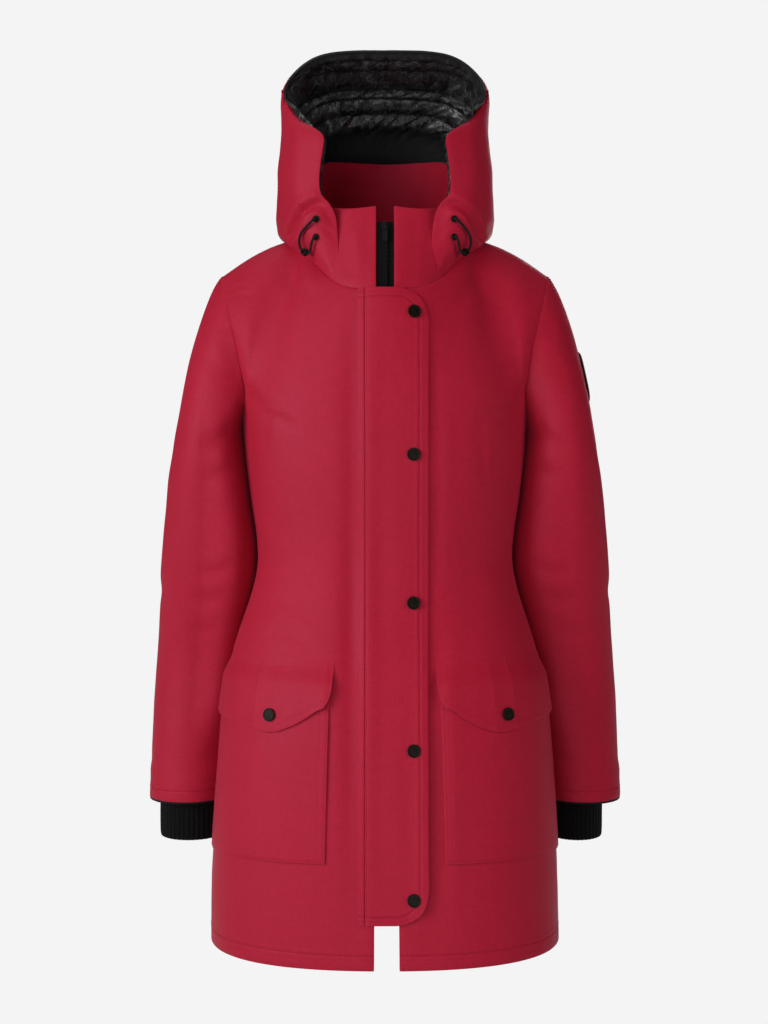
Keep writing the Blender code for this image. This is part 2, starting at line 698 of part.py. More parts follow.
def formNormals(form, first, second, outwards):
    nudge = 0.02
    by_first = form(first + nudge, second) - form(first - nudge, second)
    by_second = form(first, second + nudge) - form(first, second - nudge)
    normals = unit(np.cross(by_first, by_second))
    flip = np.sign(np.sum(normals * outwards, axis=-1, keepdims=True))
    return normals * flip


def panelForm(angle, level):
    """The fronts as their flat facets lie: straight between the columns and rows of the panels."""
    angle, level = np.broadcast_arrays(np.asarray(angle, float), np.asarray(level, float))
    beyond = [-angle_beyond for angle_beyond in body_columns[2::-1]]
    columns = np.array(beyond + [-opening_angle, opening_angle] + list(body_columns))
    levels = bodyLevels()
    column_at = np.clip(np.searchsorted(columns, angle, side="right") - 1, 0, len(columns) - 2)
    row_at = np.clip(np.searchsorted(levels, level, side="right") - 1, 0, len(levels) - 2)
    across = ((angle - columns[column_at]) / (columns[column_at + 1] - columns[column_at]))[..., None]
    up = ((level - levels[row_at]) / (levels[row_at + 1] - levels[row_at]))[..., None]
    sides = []
    for row in (row_at, row_at + 1):
        right = bodyForm(columns[column_at], levels[row])
        left = bodyForm(columns[column_at + 1], levels[row])
        sides.append(right * (1 - across) + left * across)
    return sides[0] * (1 - up) + sides[1] * up


def onPanel(angle, level):
    """Points on the fronts' facets, and the directions that lead off them."""
    angle, level = np.broadcast_arrays(np.asarray(angle, float), np.asarray(level, float))
    points = panelForm(angle, level)
    outwards = points * (1, 1, 0) + (0, -1.0, 0)
    return points, formNormals(bodyForm, angle, np.minimum(level, 1.98), outwards)


def levelAt(z):
    """The level of a height on the body's lower part."""
    return (np.asarray(z, float) - hem_z) / (armpit_z - hem_z)


def onFront(x, z):
    """Points and normals of the fronts at given x and z, right across the opening."""
    x, z = np.broadcast_arrays(np.asarray(x, float), np.asarray(z, float))
    angle, level = solveOn(panelForm, (8.0, 0.9), [0, 2], np.stack([x, z], -1), 2.0)
    return onPanel(angle, level)


def onHood(x, z):
    x, z = np.broadcast_arrays(np.asarray(x, float), np.asarray(z, float))
    station, back = solveOn(hoodForm, (0.15, 0.05), [0, 2], np.stack([x, z], -1), 1.0)
    return hoodForm(station, back), formNormals(hoodForm, station, back, np.array((0.3, -1.0, 0)))


def onSleeve(y, z):
    y, z = np.broadcast_arrays(np.asarray(y, float), np.asarray(z, float))
    turn, level = solveOn(sleeveForm, (360.0, 0.7), [1, 2], np.stack([y, z], -1), 2.0)
    return sleeveForm(turn, level), formNormals(sleeveForm, turn, level, np.array((1.0, 0, 0)))


def openingLevels(low, high):
    """The panels' rows between two heights at the opening."""
    heights, line = centreProfile()
    levels = bodyLevels()
    heights = heights[:len(levels)]
    return [float(z) for z in heights if low < z < high]


def buildStormFlap():
    """Columns across: the raised welt, the sewn groove, the flap out to its free edge with round corners."""
    corner = np.array(corner_shares) * flap_corner
    middle = openingLevels(flap_bottom_z + flap_corner + 8, flap_top_z - flap_corner - 4)
    levels = np.concatenate([flap_top_z - corner, middle[::-1], flap_bottom_z + corner[::-1]])
    from_end = np.minimum(flap_top_z - levels, levels - flap_bottom_z)
    short = np.clip(flap_corner - from_end, 0, flap_corner)
    right = flap_right_x - flap_corner + np.sqrt(flap_corner**2 - short**2)
    welt = [flap_welt_x + row["along"] for row in welt_section]
    heights = [row["height"] for row in welt_section] + [storm_flap_wall] * 4 + [storm_flap_wall - 0.4]
    heights = np.array(heights) + flap_lift
    rows = []
    for z, edge in zip(levels, right):
        ridge = float(bodyForm(body_columns[0], float(np.clip(levelAt(z), 0, 1)))[0])
        opening_right, opening_left = zipEdges(z)
        rows.append(welt + [opening_right, min(opening_left, edge - 8)])
        rows[-1] += [min(ridge, edge - 3), edge - 1.2, edge]
    points, normals = onFront(np.array(rows), levels[:, None])
    wall("storm_flap", "shell", points + normals * heights[:, None], points + normals * flap_lift)


def pocketGrid():
    """Angles and levels of a patch pocket, on the panel's own columns and rows where they cross it."""
    heights = hem_z + bodyLevels()[:lower_rows] * (armpit_z - hem_z)
    rows = [z for z in heights if pocket_foot_z < z < pocket_top_z - 4]
    grid = []
    for z in [None] + rows + [pocket_top_z]:
        start_z = z if z is not None else pocket_base[0]["z"]
        start = torsoAngle(read(pocket_edge, "z", "x", start_z), start_z)
        between = [angle for angle in body_columns[1:] if angle < pocket_side]
        angles = np.array([start] + between + [pocket_side])
        heights = read(pocket_base, "angle", "z", angles) if z is None else np.full(len(angles), z)
        grid.append(np.stack([angles, levelAt(heights)], -1))
    return np.array(grid)


def torsoAngle(x, z):
    """The angle round the front at which the body is x wide."""
    half = read(torso, "z", "half", z)
    angle = np.degrees(np.arcsin(np.clip(x / half, 0, 0.999)))
    for _ in range(6):
        angle = angle - (torsoForm(angle, z)[..., 0] - x) / (half * np.cos(np.radians(angle)) * pi / 180)
    return np.clip(angle, 0, 88.0)


def buildPockets():
    places = pocketGrid()
    points, normals = onPanel(places[..., 0], places[..., 1])
    inner = points + normals * pocket_lift
    outer = inner + normals * pocket_wall
    for side in ("right", "left"):
        wall("pocket_" + side, "shell", outer, inner, mirror=side == "right")


def buildPocketFlaps():
    shares = np.array([0, 0.13, 0.4, 0.7, 1.0])
    offsets = np.array([0.5] + [pocket_flap_stand] * 4)[:, None, None]
    edges = [float(torsoAngle(row["x"], pocket_flap_z)) for row in pocket_flap_base]
    corners = [float(torsoAngle(x, pocket_flap_z)) for x in (70.0, 119.0, 150.0)]
    panel = [angle for angle in body_columns if edges[0] + 5 < angle < edges[-1] - 3]
    angles = np.array(sorted(edges + corners + panel))
    angles = angles[np.concatenate([[True], np.diff(angles) > 1.0])]
    x = torsoForm(angles, pocket_flap_z)[..., 0]
    top = read(pocket_flap_top, "x", "z", x)
    base = read(pocket_flap_base, "x", "z", x)
    levels = levelAt(top + (base - top) * shares[:, None])
    points, normals = onPanel(angles, levels)
    inner = points + normals * offsets
    outer = inner + normals * pocket_flap_wall
    for side in ("right", "left"):
        wall("pocket_flap_" + side, "shell", outer, inner, mirror=side == "right")


# Turned pieces

def lathe(name, kind, profile, segments, place, direction, ring=False):
    """A profile of (radius, height) turned round its axis and set down at a place."""
    mesh = bmesh.new()
    loops = []
    for radius, height in profile:
        if radius == 0:
            loops.append([mesh.verts.new((0, 0, height * mm))])
            continue
        turns = [2 * pi * count / segments for count in range(segments)]
        ring_points = [Vector((radius * cos(turn), radius * sin(turn), height)) * mm for turn in turns]
        loops.append([mesh.verts.new(point) for point in ring_points])
    pairs = list(zip(loops, loops[1:]))
    if ring:
        pairs.append((loops[-1], loops[0]))
    for low, high in pairs:
        for count in range(segments):
            after = (count + 1) % segments
            corners = [low[count % len(low)], low[after % len(low)]]
            corners += [high[after % len(high)], high[count % len(high)]]
            mesh.faces.new(list(dict.fromkeys(corners)))
    bmesh.ops.recalc_face_normals(mesh, faces=mesh.faces)
    made = finished(name, kind, mesh)
    made.location = Vector(place) * mm
    made.rotation_mode = "QUATERNION"
    made.rotation_quaternion = Vector(direction).to_track_quat("Z", "Y")
    return made


def snap(name, place, direction, base):
    profile = [(0, base), (snap_radius, base), (snap_radius, base + snap_height * 0.45),
               (snap_radius * 0.86, base + snap_height * 0.9), (0, base + snap_height)]
    lathe(name, "snap", profile, 14, place, direction)


def buildSnaps():
    points, normals = onFront(np.full(len(snap_levels), snap_x), np.array(snap_levels))
    for count, (point, normal) in enumerate(zip(points, normals)):
        snap(f"snap_{count + 1}", point, normal, flap_lift + storm_flap_wall + seam_gap + snap_lift)
    base = pocket_flap_stand + pocket_flap_wall + seam_gap + snap_lift
    z = np.array([pocket_snap_z])
    for side, sign in (("right", -1), ("left", 1)):
        angle = torsoAngle(np.array([pocket_snap_x[side]]), z)
        points, normals = onPanel(angle, levelAt(z))
        snap("pocket_snap_" + side, points[0] * (sign, 1, 1), normals[0] * (sign, 1, 1), base)


# Cuffs

def cuffRing(turns, z, half, stand=0.0):
    depth = half + 1.0
    x = cuff_middle[0] + (half + stand) * np.cos(turns)
    y = cuff_middle[1] - (depth + stand) * np.sin(turns)
    return np.stack([x, y, np.full(x.shape, z)], -1)


def buildCuffs():
    ribs = 2 * cuff_ribs
    turns = np.arange(ribs) * 2 * pi / ribs
    raised = np.where(np.arange(ribs) % 2 == 0, 0.0, -rib_height)
    outer = np.array([cuffRing(turns, row["z"], row["half"], raised) for row in cuff])
    inner = np.array([cuffRing(turns, row["z"], row["half"], -cuff_wall) for row in cuff])
    few = np.arange(24) * 2 * pi / 24
    edge = sleeveRing(np.degrees(few), np.full(24, sleeve_hem_z))
    middle = edge.mean(axis=0)
    rim = edge + unit(edge - middle) * -0.6
    hole = cuffRing(few, sleeve_hem_z, cuff[0]["half"] + 1.4)
    top = np.array([rim, hole]) - (0, 0, seam_gap)
    for side in ("right", "left"):
        wall("knit_cuff_" + side, "knit", outer, inner, True, side == "right")
        wall("cuff_facing_" + side, "tape", top, top - (0, 0, facing_wall), True, side == "right")


# Zip

def centreProfile():
    """The shell's outer face at the zip opening, as y by z, from the hem up over the collar."""
    body = np.array([bodyForm(edgeAngle("left", level), level) for level in bodyLevels()])
    collar = np.array([collarForm(collarAngles()[0], rise) for rise in np.linspace(0, 1, 6)])
    line = np.vstack([body, collar[1:]])
    return line[:, 2], line[:, 1]


def zipEdges(z):
    """The free edges of the two fronts and the collar, as x on each side."""
    share = np.clip((z - armpit_z) / (hem_z - armpit_z), 0, 1)
    right = -(front_edge_top + (front_edge_hem["right"] - front_edge_top) * share)
    left = front_edge_top + (front_edge_hem["left"] - front_edge_top) * share
    return np.array([right, left])


def zipStrip(name, low, high, edges, depth, thickness):
    levels = np.array([low] + openingLevels(low + 5, throat_z - 1) + list(np.linspace(throat_z, high, 4)))
    heights, line = centreProfile()
    y = np.interp(levels, heights, line)
    rise = np.gradient(y, levels)
    normal = unit(np.stack([0 * y, -np.ones(len(y)), rise], -1))
    outer = []
    for edge in edges(levels):
        outer.append(np.stack([edge, y, levels], -1) - normal * depth)
    outer = np.swapaxes(np.array(outer), 0, 1)
    wall(name, "tape", outer, outer - normal[:, None] * thickness)


def buildZip():
    clear = seam_gap + 0.5
    inwards = np.array([[clear], [-clear]])
    sides = np.array([[-chain_half], [chain_half]])
    chain_depth = tape_depth - seam_gap - chain_wall
    zipStrip("zip_tape", zip_bottom_z, zip_top_z, lambda z: zipEdges(z) + inwards, tape_depth, tape_wall)
    zipStrip("zip_chain", zip_bottom_z + 2, slider_z - 8, lambda z: sides + 0 * z, chain_depth, chain_wall)


def ribbon(mesh, sections):
    """A closed bar through rectangular sections, each given as its four corners."""
    rings = [[mesh.verts.new(Vector(corner) * mm) for corner in section] for section in sections]
    for low, high in zip(rings, rings[1:]):
        for count in range(4):
            after = (count + 1) % 4
            mesh.faces.new((low[count], low[after], high[after], high[count]))
    mesh.faces.new(rings[0])
    mesh.faces.new(rings[-1][::-1])


def sliderFrame():
    """The point on the tape's face at the slider, and the tape's lean there as a turn about X."""
    heights, line = centreProfile()
    y, below, above = np.interp([slider_z, slider_z - 5, slider_z + 5], heights, line)
    lean = np.arctan2(above - below, 10.0)
    depth = tape_depth - seam_gap
    return (0.0, float(y + depth * cos(lean)), float(slider_z - depth * sin(lean))), -float(lean)


def buildSlider():
    """The slider's plate with a bridge, in its own frame: the tape's face is at y = 0 and the front at -Y."""
    plate_depth = 2.6
    mesh = bmesh.new()
    shape = Matrix.LocRotScale(Vector((0, -plate_depth / 2, 0)) * mm, None, Vector((9, plate_depth, 12)) * mm)
    corners = bmesh.ops.create_cube(mesh, size=1.0, matrix=shape)["verts"]
    edges = {edge for vert in corners for edge in vert.link_edges}
    edges = [edge for edge in edges if abs(edge.verts[0].co.y - edge.verts[1].co.y) > 1e-5]
    bmesh.ops.bevel(mesh, geom=edges, offset=2.0 * mm, segments=3, affect="EDGES")
    body = finished("zip_slider", "snap", mesh)
    reach = 3.6
    outside = [(0.6, 4.6), (-1.8, 4.6), (-reach, 3.2), (-reach, -3.2), (-1.8, -4.6), (0.6, -4.6)]
    inside = [(0.6, 3.5), (-1.6, 3.5), (-2.5, 2.6), (-2.5, -2.6), (-1.6, -3.5), (0.6, -3.5)]
    mesh = bmesh.new()
    sections = []
    for (out_y, out_z), (in_y, in_z) in zip(outside, inside):
        sections.append([(-1.2, out_y - plate_depth, out_z), (1.2, out_y - plate_depth, out_z),
                         (1.2, in_y - plate_depth, in_z), (-1.2, in_y - plate_depth, in_z)])
    ribbon(mesh, sections)
    bmesh.ops.recalc_face_normals(mesh, faces=mesh.faces)
    bridge = finished("slider_bridge", "snap", mesh)
    join = body.modifiers.new("bridge", "BOOLEAN")
    join.operation = "UNION"
    join.solver = "EXACT"
    join.object = bridge
    bridge.hide_render = True
    bridge.display_type = "WIRE"
    tab = buildPullTab()
    place, lean = sliderFrame()
    for piece in (body, bridge, tab):
        piece.rotation_euler = (lean, 0, 0)
    body.location = Vector(place) * mm
    bridge.location = body.location
    pivot = Matrix.Rotation(lean, 3, "X") @ Vector((0, -plate_depth - 1.35, -1.5))
    tab.location = (Vector(place) + pivot) * mm


def buildPullTab():
    """A flat tab with a square eye; its top bar turns inside the bridge and its origin is on that axis."""
    thickness = 1.5
    eye_half = 1.7
    tab_half = 2.8
    eye_length = 4.6
    tab_length = 20.0
    mesh = bmesh.new()
    outline = [(-tab_half, 0.75), (tab_half, 0.75), (tab_half, -eye_length), (3.1, -tab_length + 2),
               (2.0, -tab_length), (-2.0, -tab_length), (-3.1, -tab_length + 2), (-tab_half, -eye_length)]
    hole = [(-eye_half, -0.75), (eye_half, -0.75), (eye_half, -eye_length), (-eye_half, -eye_length)]
    layers = []
    for y in (-thickness / 2, thickness / 2):
        outer = [mesh.verts.new((x * mm, y * mm, z * mm)) for x, z in outline]
        inner = [mesh.verts.new((x * mm, y * mm, z * mm)) for x, z in hole]
        layers.append((outer, inner))
    for outer, inner in layers:
        mesh.faces.new((outer[0], outer[1], inner[1], inner[0]))
        mesh.faces.new((outer[1], outer[2], inner[2], inner[1]))
        mesh.faces.new((outer[7], outer[0], inner[0], inner[3]))
        mesh.faces.new((outer[7], inner[3], inner[2], outer[2], outer[3], outer[4], outer[5], outer[6]))
    for loop in (0, 1):
        front, back = layers[0][loop], layers[1][loop]
        for count in range(len(front)):
            after = (count + 1) % len(front)
            mesh.faces.new((front[count], front[after], back[after], back[count]))
    bmesh.ops.recalc_face_normals(mesh, faces=mesh.faces)
    return finished("zip_pull", "snap", mesh)


# Drawcord, eyelets, beads and the sleeve patch

def buildDrawcords():
    knots = np.arange(len(cord_path), dtype=float)
    fine = smooth(knots, cord_path, np.linspace(0, len(cord_path) - 1, cord_points))
    before, bead_at, after = smooth(knots, cord_path, bead_place + np.array([-0.4, 0, 0.4]))
    bead_run = unit(after - before)
    eyelets, lies = onHood(*np.array(eyelet_places).T)
    for side, sign in (("right", -1), ("left", 1)):
        mirror = np.array((sign, 1, 1))
        curve = bpy.data.curves.new("drawcord_" + side, "CURVE")
        curve.dimensions = "3D"
        curve.bevel_depth = cord_radius * mm
        curve.bevel_resolution = 2
        curve.use_fill_caps = True
        spline = curve.splines.new("POLY")
        spline.points.add(len(fine) - 1)
        for point, place in zip(spline.points, fine):
            point.co = (*(place * mirror * mm), 1)
        curve.materials.append(materialFor("cord"))
        cord = bpy.data.objects.new("drawcord_" + side, curve)
        bpy.context.collection.objects.link(cord)
        bore = cord_radius + 0.45
        bead = [(bore, -bead_half), (3.2, -bead_half), (bead_radius, -2),
                (bead_radius, 2), (3.2, bead_half), (bore, bead_half)]
        lathe("cord_bead_" + side, "cord", bead, 12, bead_at * mirror, bead_run * mirror, True)
        for count, (place, lie) in enumerate(zip(eyelets, lies)):
            rim = [(eyelet_hole, 0.5), (eyelet_radius, 0.5), (3.3, 1.5), (eyelet_hole, 1.4)]
            lathe(f"eyelet_{side}_{count + 1}", "snap", rim, 10, place * mirror, lie * mirror, True)


def buildPatch():
    rings = np.array([0.4, 0.75, 0.96, 1.0]) * patch_radius
    turns = np.arange(24) * 2 * pi / 24
    y = patch_place[0] + rings[:, None] * np.cos(turns)
    z = patch_place[1] + rings[:, None] * np.sin(turns)
    points, normals = onSleeve(y, z)
    inner = points + normals * patch_lift
    outer = inner + normals * np.array([patch_wall, patch_wall, patch_wall, patch_wall - 0.5])[:, None, None]
    disc("sleeve_patch", "patch", outer, inner)


def disc(name, kind, outer, inner):
    """A round wall: rings from the middle out, closed in the middle by a fan."""
    mesh = bmesh.new()
    sheets = []
    for grid in (outer, inner):
        rings = [[mesh.verts.new(point * mm) for point in ring] for ring in grid]
        hub = mesh.verts.new(grid[0].mean(axis=0) * mm)
        count = len(rings[0])
        for place in range(count):
            after = (place + 1) % count
            mesh.faces.new((hub, rings[0][place], rings[0][after]))
            for low, high in zip(rings, rings[1:]):
                mesh.faces.new((low[place], high[place], high[after], low[after]))
        sheets.append(rings[-1])
    for place in range(len(sheets[0])):
        after = (place + 1) % len(sheets[0])
        mesh.faces.new((sheets[0][place], sheets[0][after], sheets[1][after], sheets[1][place]))
    bmesh.ops.recalc_face_normals(mesh, faces=mesh.faces)
    finished(name, kind, mesh)


for old in list(bpy.data.objects):
    bpy.data.objects.remove(old, do_unlink=True)
buildBody()
buildHood()
buildLining()
buildStormFlap()
buildPockets()
buildPocketFlaps()
buildSnaps()
buildCuffs()
buildZip()
buildSlider()
buildDrawcords()
buildPatch()
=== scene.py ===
# Down parka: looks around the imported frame.
# Lengths in the dictionaries are in millimetres; mm turns them into metres.
from math import cos, pi, radians, sin

import bmesh
import bpy
import numpy as np
from mathutils import Matrix, Vector, noise
from mathutils.bvhtree import BVHTree


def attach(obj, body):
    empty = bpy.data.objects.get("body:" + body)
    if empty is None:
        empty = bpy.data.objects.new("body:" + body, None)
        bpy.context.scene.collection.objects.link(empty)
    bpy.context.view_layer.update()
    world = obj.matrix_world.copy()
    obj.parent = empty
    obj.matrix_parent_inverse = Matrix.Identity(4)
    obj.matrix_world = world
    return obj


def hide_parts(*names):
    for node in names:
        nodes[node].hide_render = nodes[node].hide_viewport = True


mm = 0.001
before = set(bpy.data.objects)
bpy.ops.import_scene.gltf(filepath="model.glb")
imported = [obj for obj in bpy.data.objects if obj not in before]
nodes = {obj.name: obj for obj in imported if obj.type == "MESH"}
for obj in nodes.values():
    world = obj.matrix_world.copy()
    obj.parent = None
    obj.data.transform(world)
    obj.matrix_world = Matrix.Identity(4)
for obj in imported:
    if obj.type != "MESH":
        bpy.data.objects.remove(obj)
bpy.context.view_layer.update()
bpy.ops.object.select_all(action="DESELECT")
print("frame loaded:", len(nodes), "nodes")


# Shader maths: a socket that takes part in sums

class Value:
    def __init__(self, shader, socket):
        self.shader = shader
        self.socket = socket

    def sum(self, operation, *others):
        return self.shader.node("ShaderNodeMath", {"operation": operation}, [self, *others])

    def __add__(self, other):
        return self.sum("ADD", other)

    def __sub__(self, other):
        return self.sum("SUBTRACT", other)

    def __rsub__(self, other):
        return self.shader.node("ShaderNodeMath", {"operation": "SUBTRACT"}, [other, self])

    def __mul__(self, other):
        return self.sum("MULTIPLY", other)

    def __abs__(self):
        return self.sum("ABSOLUTE")

    def wave(self, pitch):
        # a sine of this pitch in millimetres
        return (self * (2 * pi / (pitch * mm))).sum("SINE")


class Shader:
    # one material on a Principled surface; constants go straight onto its sockets
    def __init__(self, name, **constants):
        self.material = bpy.data.materials.new(name)
        self.material.use_nodes = True
        self.tree = self.material.node_tree
        self.surface = self.tree.nodes["Principled BSDF"]
        for key, value in constants.items():
            self.surface.inputs[key.replace("_", " ")].default_value = value

    def node(self, kind, settings, sockets, output=0):
        made = self.tree.nodes.new(kind)
        for key, value in settings.items():
            setattr(made, key, value)
        places = sockets.items() if isinstance(sockets, dict) else enumerate(sockets)
        for key, value in places:
            self.feed(made.inputs[key], value)
        return Value(self, made.outputs[output])

    def feed(self, socket, value):
        if isinstance(value, Value):
            self.tree.links.new(value.socket, socket)
        else:
            socket.default_value = value

    def set(self, name, value):
        self.feed(self.surface.inputs[name], value)

    def place(self):
        return self.node("ShaderNodeTexCoord", {}, {}, "Object")

    def axes(self, vector):
        split = self.tree.nodes.new("ShaderNodeSeparateXYZ")
        self.feed(split.inputs[0], vector)
        return [Value(self, socket) for socket in split.outputs]

    def stretched(self, vector, x, y, z):
        return self.node("ShaderNodeVectorMath", {"operation": "MULTIPLY"}, [vector, (x, y, z)])

    def noise(self, vector, scale, detail=2.0, roughness=0.5, distortion=0.0):
        return self.node("ShaderNodeTexNoise", {}, {"Vector": vector, "Scale": scale, "Detail": detail,
                                                    "Roughness": roughness, "Distortion": distortion})

    def ramp(self, value, low, high, toLow=0.0, toHigh=1.0):
        return self.node("ShaderNodeMapRange", {"interpolation_type": "SMOOTHSTEP"}, {
            "Value": value, "From Min": low, "From Max": high, "To Min": toLow, "To Max": toHigh})

    def mix(self, factor, first, second):
        return self.node("ShaderNodeMix", {"data_type": "RGBA"}, {0: factor, 6: first, 7: second}, 2)

    def relief(self, height):
        # height in metres
        bump = self.node("ShaderNodeBump", {}, {"Height": height, "Distance": 1.0, "Strength": 1.0})
        self.set("Normal", bump)

    def line(self, distance, width):
        # 1 on a line, falling to 0 at its width
        return self.ramp(abs(distance), 0.0, width, 1.0, 0.0)


shellLook = dict(deep=(0.385, 0.0072, 0.024, 1), light=(0.440, 0.0098, 0.031, 1), roughness=0.62, sheen=0.11,
                 sheenTint=(1.0, 0.22, 0.40, 1), specular=0.30, specularTint=(1.0, 0.6, 0.9, 1),
                 threadScale=520.0, thread=0.05, crumple=0.35, seam=(0.15, 0.002, 0.008, 1), swellAt=3.4,
                 swellWidth=3.0)


def shellMaterial(name, rows=()):
    # rows of sewing: a function that gives the distance from one, its half width, depth, tone and puffed band
    look = shellLook
    shader = Shader(name, Roughness=look["roughness"], Sheen_Weight=look["sheen"], Sheen_Roughness=0.45,
                    Sheen_Tint=look["sheenTint"], Specular_IOR_Level=look["specular"],
                    Specular_Tint=look["specularTint"])
    place = shader.place()
    x, y, z = shader.axes(place)
    upright = shader.noise(shader.stretched(place, 1, 1, 0.16), look["threadScale"], 1.0)
    level = shader.noise(shader.stretched(place, 0.16, 0.16, 1), look["threadScale"], 1.0)
    weave = upright + level - 1.0
    mottle = shader.noise(place, 8.0, 3.0, 0.55)
    speckle = shader.noise(place, 230.0, 2.0, 0.6)
    crumple = shader.noise(place, 26.0, 3.0, 0.45, 0.4)
    tone = shader.ramp(mottle * 0.45 + speckle * 0.35 + weave * 0.45 + 0.1, 0.25, 0.75)
    colour = shader.mix(tone, look["deep"], look["light"])
    height = weave * (look["thread"] * mm) + crumple * (look["crumple"] * mm)
    for row in rows:
        gap = row["distance"](x, y, z)
        dip = shader.line(gap, row["width"] * mm)
        swell = shader.line(abs(gap) - look["swellAt"] * mm, look["swellWidth"] * mm)
        puckers = shader.noise(place, 110.0, 1.0)
        colour = shader.mix(dip * row["tone"], colour, look["seam"])
        height = height - dip * (row["depth"] * mm) + swell * puckers * (row["puff"] * mm)
    shader.set("Base Color", colour)
    shader.set("Roughness", shader.ramp(mottle, 0.2, 0.8, look["roughness"] - 0.04, look["roughness"] + 0.05))
    shader.relief(height)
    return shader.material


def sewn(distance, width=1.4, depth=0.3, tone=0.08, puff=0.3):
    return dict(distance=distance, width=width, depth=depth, tone=tone, puff=puff)


# lining colours: deep and light span the quilted cloth, which is lighter on its fold crests as a painted
# highlight; crease is a painted highlight along the crinkle lines; smooth is the cloth behind the gathers
liningTonesAndHighlights = dict(deep=(0.009, 0.009, 0.0093, 1), light=(0.034, 0.034, 0.035, 1),
                   crease=(0.11, 0.11, 0.112, 1), smooth=(0.008, 0.008, 0.0082, 1))


def liningMaterial():
    # the quilting's rows are read from the piece: up to the gathers the cloth carries painted highlights,
    # lighter on its fold crests and bright along its crinkles, and the smooth cloth behind is dark
    tones = liningTonesAndHighlights
    shader = Shader("lining_gloss", Roughness=0.3, Specular_IOR_Level=0.4)
    place = shader.place()
    row = shader.node("ShaderNodeAttribute", {"attribute_name": "row"}, {}, "Fac")
    quilted = shader.ramp(row, 10.0, 10.8, 1.0, 0.0) * shader.ramp(row, 0.1, 0.8)
    fold = shader.noise(shader.stretched(place, 1.0, 0.55, 0.8), 70.0, 2.0, 0.5, 1.0)
    wrinkle = shader.noise(shader.stretched(place, 1.0, 0.5, 0.5), 62.0, 1.0, 0.4, 0.8)
    crease = shader.ramp(abs(wrinkle - 0.5), 0.0, 0.035, 1.0, 0.0)
    fine = shader.noise(place, 300.0, 2.0)
    # painted highlights: the quilted cloth is lighter where its folds rise and bright along the crinkle
    # lines, so it reads lighter than the smooth cloth behind
    quiltColourWithHighlights = shader.mix(shader.ramp(fold, 0.35, 0.65), tones["deep"], tones["light"])
    quiltColourWithHighlights = shader.mix(crease * fold, quiltColourWithHighlights, tones["crease"])
    shader.set("Base Color", shader.mix(quilted, tones["smooth"], quiltColourWithHighlights))
    shader.set("Roughness", shader.ramp(fine, 0.2, 0.8, 0.24, 0.38) + (1 - quilted) * 0.4)
    shader.relief(fold * quilted * (2.0 * mm) + fold * (0.15 * mm) + crease * quilted * (0.5 * mm))
    return shader.material


def knitMaterial():
    shader = Shader("rib_knit", Roughness=0.92, Sheen_Weight=0.03, Sheen_Roughness=0.5,
                    Specular_IOR_Level=0.1)
    place = shader.place()
    loops = shader.axes(place)[2].wave(2.1)
    fuzz = shader.noise(place, 900.0, 3.0, 0.6)
    shader.set("Base Color", shader.mix(fuzz, (0.0015, 0.0015, 0.0017, 1), (0.006, 0.0058, 0.0062, 1)))
    shader.relief(loops * (0.16 * mm) + fuzz * (0.22 * mm))
    return shader.material


def metalMaterial(name, low, high, roughness):
    shader = Shader(name, Roughness=roughness, Specular_IOR_Level=0.15)
    place = shader.place()
    wear = shader.noise(place, 420.0, 4.0, 0.65)
    shader.set("Base Color", shader.mix(wear, low, high))
    shader.set("Roughness", shader.ramp(wear, 0.3, 0.7, roughness - 0.05, roughness + 0.1))
    shader.relief(wear * (0.02 * mm))
    return shader.material


def wovenMaterial(name, low, high, pitch, depth, roughness=0.8):
    # tape and cord: short slanting threads
    shader = Shader(name, Roughness=roughness, Sheen_Weight=0.03, Specular_IOR_Level=0.15)
    place = shader.place()
    x, y, z = shader.axes(place)
    threads = (x + y + z).wave(pitch) * (x + y - z).wave(pitch)
    fuzz = shader.noise(place, 700.0, 2.0)
    shader.set("Base Color", shader.mix(fuzz * 0.5 + threads * 0.25 + 0.25, low, high))
    shader.relief(threads * (depth * mm) + fuzz * (0.05 * mm))
    return shader.material


def patchMaterial():
    # a plain round badge of twill inside a satin-stitched rim
    shader = Shader("patch_cloth", Roughness=0.8, Sheen_Weight=0.1)
    place = shader.place()
    x, y, z = shader.axes(place)
    twill = (y + z).wave(1.3)
    fuzz = shader.noise(place, 800.0, 2.0)
    tone = fuzz * 0.6 + twill * 0.2 + 0.2
    shader.set("Base Color", shader.mix(tone, (0.016, 0.016, 0.02, 1), (0.05, 0.05, 0.058, 1)))
    shader.relief(twill * (0.08 * mm) + fuzz * (0.08 * mm))
    return shader.material


# Camera, floor and light

cameraPlace = dict(distance=1700.0, x=-1.25, z=-330.0, lens=47.81)
lights = [
    dict(name="key", at=(-2.5, -1.9, 0.3), aim=(0.0, 0.0, -0.4), size=2.0, power=68.0, gloss=True),
    dict(name="front", at=(-0.9, -3.0, 0.0), aim=(0.0, 0.0, -0.4), size=2.6, power=31.0, gloss=False),
    dict(name="top", at=(-0.3, 0.2, 2.2), aim=(0.0, 0.0, 0.0), size=1.8, power=14.0, gloss=True),
    dict(name="right", at=(2.3, -1.5, 0.2), aim=(0.0, 0.0, -0.25), size=1.8, power=24.0, gloss=False),
    dict(name="low", at=(0.1, -1.7, -1.3), aim=(0.0, -0.03, 0.15), size=1.2, power=4.2, gloss=True),
    dict(name="back", at=(0.4, 2.6, 0.5), aim=(0.0, 0.0, -0.35), size=2.2, power=45.0, gloss=True),
]
pale = (0.905, 0.905, 0.905, 1)


def linked(name, data):
    made = bpy.data.objects.new(name, data)
    bpy.context.scene.collection.objects.link(made)
    return made


